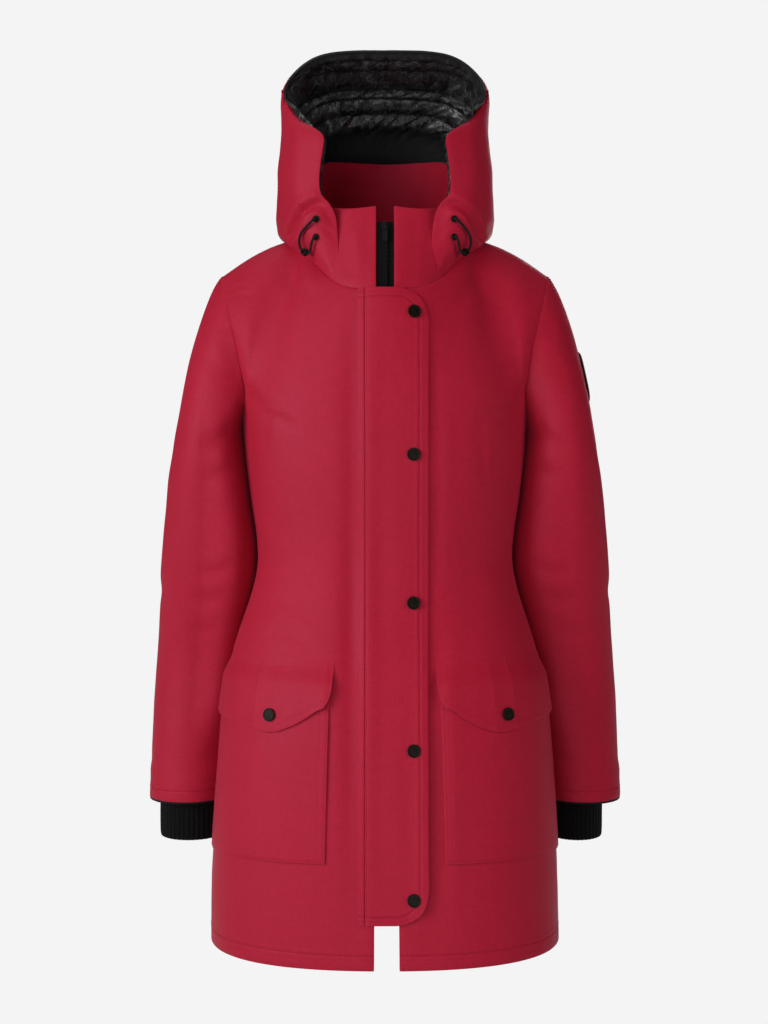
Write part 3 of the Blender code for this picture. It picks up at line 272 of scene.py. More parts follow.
def setUpScene():
    scene = bpy.context.scene
    scene.view_settings.view_transform = "Standard"
    world = bpy.data.worlds.new("studio")
    scene.world = world
    world.use_nodes = True
    world.node_tree.nodes["Background"].inputs["Color"].default_value = pale
    world.node_tree.nodes["Background"].inputs["Strength"].default_value = 1.0
    world.cycles_visibility.diffuse = False
    world.cycles_visibility.glossy = False
    for spec in lights:
        data = bpy.data.lights.new(spec["name"], "AREA")
        data.shape = "DISK"
        data.size = spec["size"]
        data.energy = spec["power"]
        lamp = linked(spec["name"], data)
        lamp.visible_glossy = spec["gloss"]
        lamp.location = spec["at"]
        lamp.rotation_euler = (Vector(spec["aim"]) - Vector(spec["at"])).to_track_quat("-Z", "Y").to_euler()
    data = bpy.data.cameras.new("camera")
    data.sensor_fit = "VERTICAL"
    data.sensor_height = 36.0
    data.lens = cameraPlace["lens"]
    camera = linked("camera", data)
    camera.location = (cameraPlace["x"] * mm, -cameraPlace["distance"] * mm, cameraPlace["z"] * mm)
    camera.rotation_euler = (pi / 2, 0, 0)
    scene.camera = camera
    bpy.ops.mesh.primitive_circle_add(vertices=64, radius=9.0, fill_type="NGON", location=(0, 0, -1.5))
    floor = bpy.context.object
    floor.name = "floor"
    shader = Shader("pale_floor", Base_Color=(0, 0, 0, 1), Roughness=1.0, Specular_IOR_Level=0.0,
                    Emission_Color=pale, Emission_Strength=1.0)
    floor.data.materials.append(shader.material)
    floor.visible_diffuse = False
    bpy.ops.object.select_all(action="DESELECT")


setUpScene()
print("camera, floor and light")


# Cloth: the outer face of a solid, made smooth and fine, with its folds pressed in and its own wall behind it

def newObject(name, mesh, material):
    data = bpy.data.meshes.new(name)
    mesh.to_mesh(data)
    mesh.free()
    data.materials.append(material)
    return linked(name, data)


def applied(made, kind, **settings):
    modifier = made.modifiers.new(kind.lower(), kind)
    for key, value in settings.items():
        setattr(modifier, key, value)
    bpy.context.view_layer.objects.active = made
    with bpy.context.temp_override(object=made, active_object=made, selected_objects=[made]):
        bpy.ops.object.modifier_apply(modifier=modifier.name)


def readPoints(data, field="co"):
    points = np.zeros(len(data.vertices) * 3)
    data.vertices.foreach_get(field, points)
    return points.reshape(-1, 3)


def writePoints(data, points):
    data.vertices.foreach_set("co", points.ravel())
    data.update()


def rounded(made, width, angle, segments=2):
    # edges sharper than the angle, in degrees, are rounded
    applied(made, "BEVEL", width=width * mm, segments=segments, limit_method="ANGLE",
            angle_limit=radians(angle))


def shaded(made, sharp=None):
    made.data.shade_smooth()
    if sharp:
        made.data.set_sharp_from_angle(angle=radians(sharp))


def dress(data, material):
    data.materials.clear()
    data.materials.append(material)


def settle(piece, slot, *nodeNames):
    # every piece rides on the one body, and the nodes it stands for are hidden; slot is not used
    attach(piece, "parka")
    if nodeNames:
        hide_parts(*nodeNames)


def treeOf(pieces):
    mesh = bmesh.new()
    for piece in pieces:
        mesh.from_mesh(piece.data)
    tree = BVHTree.FromBMesh(mesh)
    mesh.free()
    return tree


def dropModel(model):
    mesh = model.data
    bpy.data.objects.remove(model, do_unlink=True)
    bpy.data.meshes.remove(mesh)


def smoothThrough(made, level, **settings):
    # The smooth face still passes through the solid's own points: those stay first in the mesh and are pulled
    # inwards, so they are moved out by as much beforehand.
    wanted = readPoints(made.data)
    held = wanted.copy()
    for turn in range(3):
        trial = linked("trial", made.data.copy())
        applied(trial, "SUBSURF", levels=2, render_levels=2, **settings)
        held += wanted - readPoints(trial.data)[:len(wanted)]
        dropModel(trial)
        writePoints(made.data, held)
    applied(made, "SUBSURF", levels=level, render_levels=level, **settings)


def merged(nodeName):
    mesh = bmesh.new()
    mesh.from_mesh(nodes[nodeName].data)
    bmesh.ops.remove_doubles(mesh, verts=mesh.verts, dist=0.00001)
    return mesh


def fromBody(point):
    return Vector((point.x, point.y * 1.6, max(0.0, point.z + 0.15)))


def fromNeck(point):
    return Vector((point.x, point.y + 0.006, 0))


# the left sleeve's middle line, from the cuff up
sleeveMiddle = dict(z=[-697, -540, -440, -340, -240], x=[254, 243, 231, 225, 221], y=[73, 73, 48, 22, 8])


def fromSleeve(point):
    side = 1 if point.x > 0 else -1
    if point.z > -0.17:
        return point - Vector((side * 0.185, 0.005, -0.15))
    x, y = [np.interp(point.z / mm, sleeveMiddle["z"], sleeveMiddle[axis]) for axis in "xy"]
    return Vector((point.x - side * x * mm, point.y - y * mm, 0))


def fromHead(point):
    return point - Vector((0, 0, 0.09))


def keepFace(mesh, outward, sign):
    # regions of faces between sharp edges; only those that look the wanted way stay
    mesh.faces.ensure_lookup_table()
    seen = set()
    for start in mesh.faces:
        if start in seen:
            continue
        region = [start]
        seen.add(start)
        for face in region:
            for edge in face.edges:
                if len(edge.link_faces) == 2 and edge.calc_face_angle() < radians(55):
                    for other in edge.link_faces:
                        if other not in seen:
                            seen.add(other)
                            region.append(other)
        looks = sum(face.calc_area() * face.normal.dot(outward(face.calc_center_median()).normalized())
                    for face in region)
        whole = sum(face.calc_area() for face in region)
        for face in region:
            face.tag = sign * looks / whole < 0.35
    bmesh.ops.delete(mesh, geom=[face for face in mesh.faces if face.tag], context="FACES")


def toQuads(mesh):
    bmesh.ops.join_triangles(mesh, faces=mesh.faces, angle_face_threshold=radians(80),
                             angle_shape_threshold=pi)


def borderTurn(vert):
    # how sharply the free border turns at a point
    edges = [edge for edge in vert.link_edges if edge.is_boundary]
    if len(edges) != 2:
        return 0.0
    runs = [(edge.other_vert(vert).co - vert.co).normalized() for edge in edges]
    return pi - runs[0].angle(runs[1])


outwards = {"front": fromBody, "back": fromBody, "collar": fromNeck, "sleeve": fromSleeve, "hood": fromHead}


def oneSide(nodeName, sign=1):
    # a solid's outer face, or with -1 its inner one
    mesh = merged(nodeName)
    keepFace(mesh, outwards[nodeName.split("_")[0]], sign)
    toQuads(mesh)
    return mesh


def seamCorners():
    # places where a piece's edge turns a corner; all pieces that meet there keep it
    found = []
    for nodeName in ("front_right", "front_left", "back", "collar", "sleeve_right", "sleeve_left"):
        mesh = oneSide(nodeName)
        found += [vert.co.copy() for vert in mesh.verts if borderTurn(vert) > radians(32)]
        mesh.free()
    return found


def keepCorners(mesh, corners):
    layer = mesh.verts.layers.float.new("crease_vert")
    for vert in mesh.verts:
        if any((vert.co - corner).length < 2.5 * mm for corner in corners):
            vert[layer] = 1.0


# Folds: each is a soft trough along a curve on one side of the parka. A row has its half width, how far it is
# pressed in (below 0 a ridge), and its points as x and z, or as y and z on the sides.

def foldRows(**sides):
    return [dict(side=side, width=width, depth=depth, line=line)
            for side, rows in sides.items() for width, depth, *line in rows]


folds = foldRows(front=[
    # beside the storm flap the fronts sink a little
    (12, 4.4, (-37, -60), (-38, -260), (-39, -420), (-38, -620), (-37, -830)),
    (7, 0.8, (58, -120), (60, -300), (58, -460)),
    (13, 2.6, (58, -440), (57, -600), (58, -820)),
    # bust darts
    (4.2, 2.6, (-146, -214), (-124, -219), (-101, -230)),
    (6, 0.8, (-139, -216), (-143, -236), (-142, -252)),
    (3.6, 1.9, (145, -226), (127, -222), (104, -232)),
    (6, 0.8, (108, -226), (114, -262), (116, -300)),
    # over the pockets
    (5, 2.2, (-142, -474), (-116, -468), (-84, -487)),
    (9, -1.2, (-150, -460), (-118, -454), (-70, -474)),
    (6, 1.0, (140, -480), (112, -474), (82, -488)),
    # from the armholes
    (10, 2.2, (-178, -168), (-158, -196), (-138, -214)),
    (12, 1.3, (-176, -150), (-150, -166), (-122, -176)),
    (10, 2.2, (178, -168), (160, -198), (143, -220)),
    (12, 1.2, (176, -146), (152, -164), (126, -178)),
    (9, 1.2, (-196, -58), (-176, -66), (-150, -68)),
    (9, 1.0, (194, -60), (170, -70), (146, -70)),
    (3.4, 1.0, (-198, -49), (-184, -45), (-166, -47)),
    (3.4, 1.1, (-196, -60), (-180, -55), (-160, -57)),
    (3.6, 0.9, (-194, -71), (-176, -66), (-156, -69)),
    (3.4, 0.8, (197, -52), (183, -48), (168, -50)),
    (10, 1.4, (-120, -40), (-104, -62), (-84, -84)),
    (10, 1.4, (118, -38), (100, -64), (82, -86)),
    # waist and skirt
    (12, 1.4, (-157, -384), (-132, -392), (-104, -388)),
    (12, 1.4, (158, -380), (134, -390), (108, -388)),
    (16, 1.1, (-104, -330), (-98, -400), (-106, -455)),
    (17, 1.1, (96, -320), (104, -390), (98, -452)),
    (14, 0.8, (-22, -250), (-8, -390), (-16, -520)),
    (12, 0.7, (-6, -560), (-12, -660), (2, -760)),
], back=[
    (12, 2.6, (-174, -150), (-146, -186), (-112, -204)),
    (10, 1.8, (-170, -184), (-140, -222), (-100, -248)),
    (12, 2.6, (173, -152), (143, -184), (116, -208)),
    (11, 1.7, (171, -188), (138, -226), (104, -244)),
    (11, 2.0, (-152, -372), (-96, -392), (-44, -386)),
    (11, 2.0, (150, -376), (102, -390), (40, -396)),
    (9, 1.3, (-118, -412), (-70, -422), (-20, -414)),
    (9, 1.2, (122, -416), (74, -428), (30, -420)),
    (22, 2.4, (-84, -470), (-90, -600), (-98, -790)),
    (22, 2.2, (90, -480), (84, -630), (96, -800)),
    (18, 1.4, (4, -540), (-4, -680), (2, -820)),
    (9, 1.2, (-60, 2), (-40, -18), (0, -24), (42, -18), (62, 2)),
], left=[
    # sides of the skirt
    (14, 1.4, (-30, -500), (-36, -620), (-28, -780)),
    (15, 1.6, (44, -520), (38, -660), (46, -800)),
], right=[
    (14, 1.4, (-32, -520), (-26, -640), (-34, -790)),
    (15, 1.6, (42, -500), (48, -640), (40, -790)),
])
sleeveFolds = foldRows(front=[
    (9, 2.0, (178, -268), (196, -284), (222, -290)),
    (10, 1.8, (180, -226), (200, -246), (226, -252)),
    (8, 1.8, (186, -392), (204, -404), (232, -402)),
    (9, 1.7, (196, -432), (218, -440), (250, -434)),
    (10, 1.3, (204, -470), (226, -480), (252, -478)),
    (9, 1.2, (214, -640), (236, -650), (268, -646)),
    (7, -0.9, (216, -676), (240, -670), (276, -676)),
    (15, 0.9, (228, -120), (226, -180), (234, -240)),
    (18, 0.8, (252, -300), (262, -420), (274, -560)),
], back=[
    (10, 2.4, (184, -236), (206, -262), (236, -268)),
    (9, 1.8, (186, -300), (210, -318), (240, -316)),
    (8, 2.2, (196, -410), (224, -424), (262, -418)),
    (8, 2.0, (200, -446), (230, -462), (268, -452)),
    (9, 1.5, (208, -492), (236, -500), (266, -494)),
    (8, 1.4, (216, -652), (246, -660), (282, -652)),
], side=[
    (12, 1.1, (-20, -250), (10, -270), (44, -268)),
    (10, 1.3, (10, -418), (44, -432), (80, -426)),
    (8, -0.9, (40, -668), (74, -662), (106, -668)),
])
hoodFolds = foldRows(front=[
    # over the eyelets the cloth bunches on its cord
    (4.6, 5.2, (126, -16), (121, -8), (113, 6), (105, 18), (96, 27), (84, 33), (72, 36)),
    (5, -3.0, (130, 0), (120, 15), (110, 28), (98, 37), (84, 43), (70, 46)),
    (6, -1.6, (114, -14), (106, -4), (98, 4)),
    (5, 1.6, (84, -12), (96, -24), (104, -36)),
    (4, 1.2, (78, 8), (70, 4), (64, -4)),
    (4, 1.0, (76, 26), (70, 20), (66, 12)),
    (12, 1.0, (92, 56), (96, 96), (92, 132)),
    (12, 0.8, (117, 60), (119, 100), (121, 140)),
], side=[
    (9, 2.0, (-62, 0), (-30, 14), (10, 22)),
    (14, 1.6, (-40, 60), (0, 74), (46, 70)),
    (10, 1.8, (8, 28), (46, 42), (84, 44)),
    (15, 1.2, (-24, 120), (10, 132), (52, 122)),
    (12, -0.8, (-48, 150), (-20, 172), (20, 180)),
], back=[
    (9, 1.6, (-70, 40), (-40, 56), (-6, 52)),
    (9, 1.5, (74, 44), (42, 58), (10, 60)),
    (12, 1.2, (-52, 96), (-4, 104), (50, 92)),
])
collarFolds = foldRows(front=[
    (7, 1.2, (-50, 26), (-47, -20), (-44, -62)),
    (8, -0.8, (-28, 24), (-30, -20), (-26, -60)),
    (8, 0.9, (34, 24), (36, -20), (32, -62)),
    (6, 1.0, (52, 28), (50, -18), (46, -60)),
])
sideAxes = {"front": ((0, 2), (0, -1, 0)), "back": ((0, 2), (0, 1, 0)), "left": ((1, 2), (1, 0, 0)),
            "right": ((1, 2), (-1, 0, 0)), "side": ((1, 2), (1, 0, 0))}


def pressed(points, normals, rows, mirrored=False):
    # how far each point moves along its normal for the folds, in metres
    moved = np.zeros(len(points))
    flip = np.array((-1.0, 1, 1)) if mirrored else np.ones(3)
    points = points * flip / mm
    normals = normals * flip
    for fold in rows:
        axes, looks = sideAxes[fold["side"]]
        facing = np.clip(normals @ np.array(looks, float) * 2.2, 0, 1)
        flat = points[:, axes]
        knots = curved(fold["line"])
        nearest = np.full(len(points), 1e9)
        side = np.zeros(len(points))
        along = np.zeros(len(points))
        for count, (start, end) in enumerate(zip(knots, knots[1:])):
            run = end - start
            share = np.clip((flat - start) @ run / (run @ run), 0, 1)
            away = flat - start - share[:, None] * run
            distance = np.linalg.norm(away, axis=1)
            closer = distance < nearest
            nearest = np.where(closer, distance, nearest)
            turn = run[0] * away[:, 1] - run[1] * away[:, 0]
            side = np.where(closer, np.sign(turn), side)
            along = np.where(closer, (count + share) / (len(knots) - 1), along)
        taper = np.sin(np.clip(along, 0.02, 0.98) * pi) ** 0.7
        reach = nearest / fold["width"]
        trough = bell(reach) - 0.42 * bell((reach * side - 1.7) / 0.9)
        moved -= fold["depth"] * trough * taper * facing
    return moved * mm


def curved(line, count=None):
    # a smooth line through a few given points
    knots = np.array(line, float)
    last = len(knots) - 1
    at = np.linspace(0, last, count or 5 * last + 1)
    slopes = np.gradient(knots, axis=0)
    low = np.clip(at.astype(int), 0, last - 1)
    t = (at - low)[:, None]
    start = (2 * t**3 - 3 * t**2 + 1) * knots[low] + (t**3 - 2 * t**2 + t) * slopes[low]
    return start + (3 * t**2 - 2 * t**3) * knots[low + 1] + (t**3 - t**2) * slopes[low + 1]


def uneven(points, scale, seed):
    # smooth random heights between -1 and 1; scale in bumps a metre
    offset = Vector((seed * 7.3, seed * 3.1, seed * 5.7))
    return np.array([noise.noise(Vector(point) * scale + offset) for point in points])


def bell(reach):
    # 1 in the middle, falling off to both sides
    return np.exp(-(reach**2))


def edgeDistance(data, points):
    # distance of every point from the piece's free edges
    mesh = bmesh.new()
    mesh.from_mesh(data)
    border = np.array([vert.co for vert in mesh.verts if vert.is_boundary])
    mesh.free()
    nearest = np.full(len(points), 1e9)
    for part in np.array_split(border, max(1, len(border) // 40)):
        gap = np.linalg.norm(points[:, None] - part[None], axis=2).min(axis=1)
        nearest = np.minimum(nearest, gap)
    return nearest


waves = dict(broad=0.9, broadScale=11.0, small=0.30, smallScale=34.0, pucker=0.45, puckerReach=15.0,
             puckerScale=70.0, dip=0.3)


def shapeCloth(made, rows, seed, mirrored=False, dipWidth=2.6):
    # folds, slight unevenness, and the pull of the seams
    data = made.data
    points = readPoints(data)
    normals = readPoints(data, "normal")
    gap = edgeDistance(data, points) / mm
    free = np.clip(gap / 10, 0, 1)
    move = pressed(points, normals, rows, mirrored) * np.clip(gap / 6, 0.25, 1)
    move += uneven(points, waves["broadScale"], seed) * waves["broad"] * mm * free
    move += uneven(points, waves["smallScale"], seed + 1) * waves["small"] * mm * free
    move -= waves["dip"] * mm * bell(gap / dipWidth)
    ripple = uneven(points, waves["puckerScale"], seed + 2)
    move += ripple * waves["pucker"] * mm * bell(gap / waves["puckerReach"]) * np.clip(gap / 2, 0, 1)
    writePoints(data, points + normals * move[:, None])


seamMeet = 0.17  # each piece is let out by this much at its edges, so that neighbours close on each other


def meetSeams(made):
    mesh = bmesh.new()
    mesh.from_mesh(made.data)
    moves = {}
    for vert in mesh.verts:
        inner = [edge.other_vert(vert).co for edge in vert.link_edges if not edge.is_boundary]
        if vert.is_boundary and inner:
            away = vert.co - sum(inner, Vector()) / len(inner)
            moves[vert] = away.normalized() * seamMeet * mm
    for vert, move in moves.items():
        vert.co += move
    mesh.to_mesh(made.data)
    mesh.free()
    made.data.update()


def giveWall(made, wall):
    applied(made, "SOLIDIFY", thickness=wall * mm, offset=-1.0, use_even_offset=False)


clothPieces = {
    "front_right": dict(rows=folds, wall=6.0, seed=3, flat=(0.34, 0.83), share=0.74),
    "front_left": dict(rows=folds, wall=6.0, seed=5, flat=(0.34, 0.83), share=0.74),
    "back": dict(rows=folds, wall=6.0, seed=8, flat=(0.66, 0.88), share=0.755),
    "sleeve_right": dict(rows=sleeveFolds, wall=6.0, seed=11, flat=(0.40, 0.66), share=0.78,
                         mirrored=True, press=(21.0, 3.0)),
    "sleeve_left": dict(rows=sleeveFolds, wall=6.0, seed=14, flat=(0.40, 0.66), share=0.78,
                        press=(10.0, 3.0)),
    "collar": dict(rows=collarFolds, wall=5.0, seed=17, flat=(0.56, 0.12), share=0.8),
    "hood_side_right": dict(rows=hoodFolds, wall=3.0, seed=20, flat=(0.30, 0.32), share=0.68, mirrored=True,
                            dipWidth=3.0),
    "hood_side_left": dict(rows=hoodFolds, wall=3.0, seed=23, flat=(0.30, 0.32), share=0.68, dipWidth=3.0),
    "hood_centre": dict(rows=hoodFolds, wall=3.0, seed=26, flat=(0.10, 0.42), share=0.76),
}
clothLevel = 3
hemLine = -0.8365
cuffLine = -0.6835

hoodTuck = dict(low=26.0, high=38.0, down=4.5, downReach=7.0, inward=5.5, reach=12.0, side=(96.0, 118.0),
                out=3.4, outReach=22.0, brim=122.0, brimFull=146.0, back=6.5, brimReach=8.0)


def stepUp(values, low, high):
    t = np.clip((values - low) / (high - low), 0, 1)
    return t * t * (3 - 2 * t)


def tuckHood(made):
    # the hood's foot settles on the neck seam, and its brim gives way to the lining that wraps it
    look = hoodTuck
    points = readPoints(made.data)
    gap = edgeDistance(made.data, points) / mm
    height = points[:, 2] / mm
    low = 1 - stepUp(height, look["low"], look["high"])
    points[:, 2] -= look["down"] * mm * bell(gap / look["downReach"]) * low
    fromCollar = points[:, :2] - (0, -0.006)
    outSide = stepUp(np.abs(points[:, 0]) / mm, *look["side"])
    # in front the edge sinks to the collar, at the sides the foot spreads on the shoulder
    move = outSide * look["out"] * bell(gap / look["outReach"])
    move -= (1 - outSide) * look["inward"] * bell(gap / look["reach"])
    direction = fromCollar / np.linalg.norm(fromCollar, axis=1, keepdims=True)
    points[:, :2] += direction * (move * low * mm)[:, None]
    brim = bell(gap / look["brimReach"]) * (points[:, 1] < -0.045)
    points[:, 1] += look["back"] * mm * brim * stepUp(height, look["brim"], look["brimFull"])
    writePoints(made.data, points)


# a sleeve lies against the body: heights between which its inner side is drawn flat
sleeveLie = dict(top=-150.0, full=-230.0, end=-640.0, foot=-560.0, radius=50.0)


def laySleeve(made, forward, inward):
    look = sleeveLie
    points = readPoints(made.data)
    side = np.sign(points[:, 0].mean())
    z = points[:, 2] / mm
    middle = np.interp(z, sleeveMiddle["z"], sleeveMiddle["x"])
    across = (middle - side * points[:, 0] / mm) / look["radius"]
    tall = stepUp(-z, -look["top"], -look["full"]) * (1 - stepUp(-z, -look["foot"], -look["end"]))
    front = np.clip(0.55 - 1.2 * readPoints(made.data, "normal")[:, 1], 0, 1)
    points[:, 1] -= forward * mm * stepUp(across, 0.0, 0.95) * tall * front
    points[:, 0] -= side * inward * mm * stepUp(across, 0.6, 1.0) * tall
    writePoints(made.data, points)


def buildCloth():
    corners = seamCorners()
    plain = shellMaterial("shell_fabric", [sewn(lambda x, y, z: z - hemLine, tone=0.10)])
    sleeves = shellMaterial("shell_sleeve", [sewn(lambda x, y, z: z - cuffLine, tone=0.06)])
    hood = shellMaterial("shell_hood")
    made = {}
    for name, spec in clothPieces.items():
        mesh = oneSide(name)
        keepCorners(mesh, [] if "hood" in name or "sleeve" in name else corners)
        material = sleeves if "sleeve" in name else hood if "hood" in name or name == "collar" else plain
        piece = newObject("cloth_" + name, mesh, material)
        smoothThrough(piece, clothLevel, boundary_smooth="PRESERVE_CORNERS")
        shapeCloth(piece, spec["rows"], spec["seed"], spec.get("mirrored", False), spec.get("dipWidth", 2.6))
        if "hood" in name:
            tuckHood(piece)
        if "press" in spec:
            laySleeve(piece, *spec["press"])
        meetSeams(piece)
        giveWall(piece, spec["wall"])
        rounded(piece, 0.3, 50)
        shaded(piece, 50)
        settle(piece, "shell_fabric", name)
        width, length = spec["flat"]
        width * length * spec["share"]
        made[name] = piece
        print("cloth:", name, len(piece.data.polygons), "faces")
    return made


cloth = buildCloth()

# Lining of the hood. Its rows run from the brim back; the even ones are puffed and the odd ones sewn down,
# then comes a gathered band, and the rest lies smooth.
liningLook = dict(wall=2.4, sewnRows=(1, 3, 5, 7, 9), seam=1.3, seamRows=0.22, gather=(9.0, 11.0),
                  gatherDepth=2.4, crinkle=1.4, smooth=0.25, lip=7.5, lipForward=3.4, lipRows=0.5,
                  fromHeight=0.128, fullHeight=0.15, corner=(76.0, 50.0), cornerReach=11.0, cornerIn=5.0,
                  cornerRows=0.8)


def rowNumbers(mesh):
    # rows counted from the face edge back, kept on each point
    layer = mesh.verts.layers.float.new("row")
    border = [vert for vert in mesh.verts if vert.is_boundary]
    crown = min((vert for vert in border if vert.co.z > 0.19), key=lambda vert: vert.co.y)
    front = {crown}
    queue = [crown]
    for vert in queue:
        for edge in vert.link_edges:
            other = edge.other_vert(vert)
            if edge.is_boundary and other not in front and borderTurn(other) < radians(50):
                front.add(other)
                queue.append(other)
    for vert in front:
        for edge in vert.link_edges:
            other = edge.other_vert(vert)
            if edge.is_boundary and other not in front:
                queue.append(other)
    number = {vert: 0 for vert in queue}
    wave = list(number)
    for vert in wave:
        for face in vert.link_faces:
            for edge in face.edges:
                if vert in edge.verts:
                    other = edge.other_vert(vert)
                    if other not in number:
                        number[other] = number[vert] + 1
                        wave.append(other)
    for vert in mesh.verts:
        vert[layer] = number.get(vert, 0)


def buildLining():
    look = liningLook
    mesh = oneSide("hood_lining", -1)
    rowNumbers(mesh)
    piece = newObject("lining_hood", mesh, liningMaterial())
    smoothThrough(piece, clothLevel, boundary_smooth="PRESERVE_CORNERS")
    data = piece.data
    points = readPoints(data)
    normals = readPoints(data, "normal")
    row = np.zeros(len(points))
    data.attributes["row"].data.foreach_get("value", row)
    free = np.clip(edgeDistance(data, points) / mm / 6, 0, 1)
    around = np.arctan2(points[:, 0], points[:, 2] - 0.06) * 0.13
    # crinkles cross the channels: close together along them, long across them
    across = np.stack([around * 95 + row * 1.1, row * 0.6, points[:, 1] * 4], 1)
    slanted = np.stack([around * 60 + row * 0.9, row * 0.35, 0 * row], 1)
    ridges = 1 - 2 * np.abs(uneven(across, 1.0, 31))
    pleats = 1 - 2 * np.abs(uneven(slanted, 1.0, 33))
    low, high = look["gather"]
    gathered = stepUp(row, low - 0.3, low + 0.3) * (1 - stepUp(row, high - 0.4, high + 0.6))
    smooth = stepUp(row, high, high + 1.0)
    height = gathered * look["gatherDepth"] * (pleats - 0.4)
    height += (1 - gathered) * (1 - smooth) * look["crinkle"] * (ridges - 0.5)
    height += smooth * look["smooth"] * uneven(points, 40.0, 35)
    for seam in look["sewnRows"]:
        height -= look["seam"] * bell((row - seam) / look["seamRows"])
    points += normals * (height * mm * free)[:, None]
    # the brim is bound with the lining, which turns over its edge
    lip = bell(row / look["lipRows"]) * stepUp(points[:, 2], look["fromHeight"], look["fullHeight"])
    points -= normals * (lip * look["lip"] * mm)[:, None]
    points[:, 1] -= lip * look["lipForward"] * mm
    # at the lower corners of the face opening it shows past the hood's edge
    cornerX, cornerZ = look["corner"]
    away = np.hypot(np.abs(points[:, 0]) / mm - cornerX, points[:, 2] / mm - cornerZ) / look["cornerReach"]
    inward = look["cornerIn"] * mm * bell(away) * bell(row / look["cornerRows"])
    points[:, 0] -= np.sign(points[:, 0]) * inward
    writePoints(data, points)
    giveWall(piece, look["wall"])
    shaded(piece, 50)
    settle(piece, "lining_nylon", "hood_lining")
    print("lining:", len(data.polygons), "faces, rows to", row.max())


buildLining()


# Pieces laid on the fronts: whole solids made fine, pressed in with the same folds

def roundDirection(points):
    # outwards from the body, much as the fronts face
    turned = points * (1 / 0.2**2, 1 / 0.14**2, 0)
    return turned / np.linalg.norm(turned, axis=1, keepdims=True)


def creaseSharp(mesh, angle):
    layer = mesh.edges.layers.float.get("crease_edge") or mesh.edges.layers.float.new("crease_edge")
    for edge in mesh.edges:
        if len(edge.link_faces) == 2 and edge.calc_face_angle() > angle:
            edge[layer] = 1.0


def wholeSolid(nodeName, name, sharp, level, material):
    # a solid made smooth and fine, with its edges sharper than the angle kept
    mesh = merged(nodeName)
    toQuads(mesh)
    creaseSharp(mesh, radians(sharp))
    piece = newObject(name, mesh, material)
    smoothThrough(piece, level)
    return piece


overlays = {
    "storm_flap": dict(flat=(0.085, 0.735), share=0.97, round=1.1),
    "pocket_right": dict(flat=(0.235, 0.235), share=0.885, round=0.9),
    "pocket_left": dict(flat=(0.235, 0.235), share=0.885, round=0.9),
    "pocket_flap_right": dict(flat=(0.22, 0.09), share=0.93, round=1.0),
    "pocket_flap_left": dict(flat=(0.22, 0.09), share=0.93, round=1.0),
}
stormStitch = dict(x=39.6, top=-79.5, bottom=-791.5, corner=27.0, groove=-22.8)


def flapDistance(x, y, z):
    # distance to a row of sewing that follows the flap's free edge round its corners
    s = stormStitch
    middle = (s["top"] + s["bottom"]) / 2 * mm
    tall = (s["top"] - s["bottom"]) / 2 * mm
    radius = s["corner"] * mm
    across = (x - s["x"] * mm + radius).sum("MAXIMUM", 0.0)
    up = (abs(z - middle) - (tall - radius)).sum("MAXIMUM", 0.0)
    return (across * across + up * up).sum("POWER", 0.5) - radius


# how far the free edges of the flaps stand off, in mm
standOff = {
    "storm_flap": lambda x, z: 3.6 * stepUp(x, 26, 49) * stepUp(-z, 420, 690),
    "pocket_flap_right": lambda x, z: 3.0 * stepUp(x, -96, -66) * stepUp(-z, 500, 545),
    "pocket_flap_left": lambda x, z: 1.6 * stepUp(-x, -96, -66) * stepUp(-z, 500, 545),
}


# the flaps are let into a seam, so pocket and flap sink into the front along their top
flapSeam = dict(sink=7.2, rows=(-532.0, -505.0))


def buildOverlays():
    groove = sewn(lambda x, y, z: x - stormStitch["groove"] * mm, width=2.6, depth=0.15, tone=0.03, puff=0.1)
    edge = sewn(flapDistance, width=1.8, depth=0.35, tone=0.10, puff=0.4)
    pocketSide = sewn(lambda x, y, z: abs(x) - 0.0725 - (z + 0.508) * -0.026, depth=0.08, tone=0.0, puff=0.1)
    pocketFoot = sewn(lambda x, y, z: z + 0.7265 + abs(x) * 0.035, depth=0.08, tone=0.0, puff=0.1)
    materials = {"storm_flap": shellMaterial("shell_storm_flap", [groove, edge]),
                 "pocket": shellMaterial("shell_pocket", [pocketSide, pocketFoot]),
                 "pocket_flap": shellMaterial("shell_pocket_flap")}
    made = {}
    for name, spec in overlays.items():
        kind = name.removesuffix("_right").removesuffix("_left")
        piece = wholeSolid(name, "cloth_" + name, 62, clothLevel, materials[kind])
        points = readPoints(piece.data)
        outward = roundDirection(points)
        move = pressed(points, outward, folds)
        if name in standOff:
            move += standOff[name](points[:, 0] / mm, points[:, 2] / mm) * mm
        if "pocket" in name:
            move -= flapSeam["sink"] * mm * stepUp(points[:, 2] / mm, *flapSeam["rows"])
        writePoints(piece.data, points + outward * move[:, None])
        rounded(piece, spec["round"], 50)
        shaded(piece, 50)
        settle(piece, "shell_fabric", name)
        made[name] = piece
        print("laid on:", name, len(piece.data.polygons), "faces")
    return made


laidOn = buildOverlays()

# Knit cuffs and their facings
cuffLook = dict(level=2, inner=210.0, start=-692.0, full=-704.0, squeeze=0.12)


def squeezeCuff(data):
    # the wearer's left hand end hangs a little narrower than the right one
    look = cuffLook
    points = readPoints(data)
    low = 1 - stepUp(points[:, 2] / mm, look["full"], look["start"])
    points[:, 0] -= (points[:, 0] - look["inner"] * mm) * look["squeeze"] * low
    writePoints(data, points)


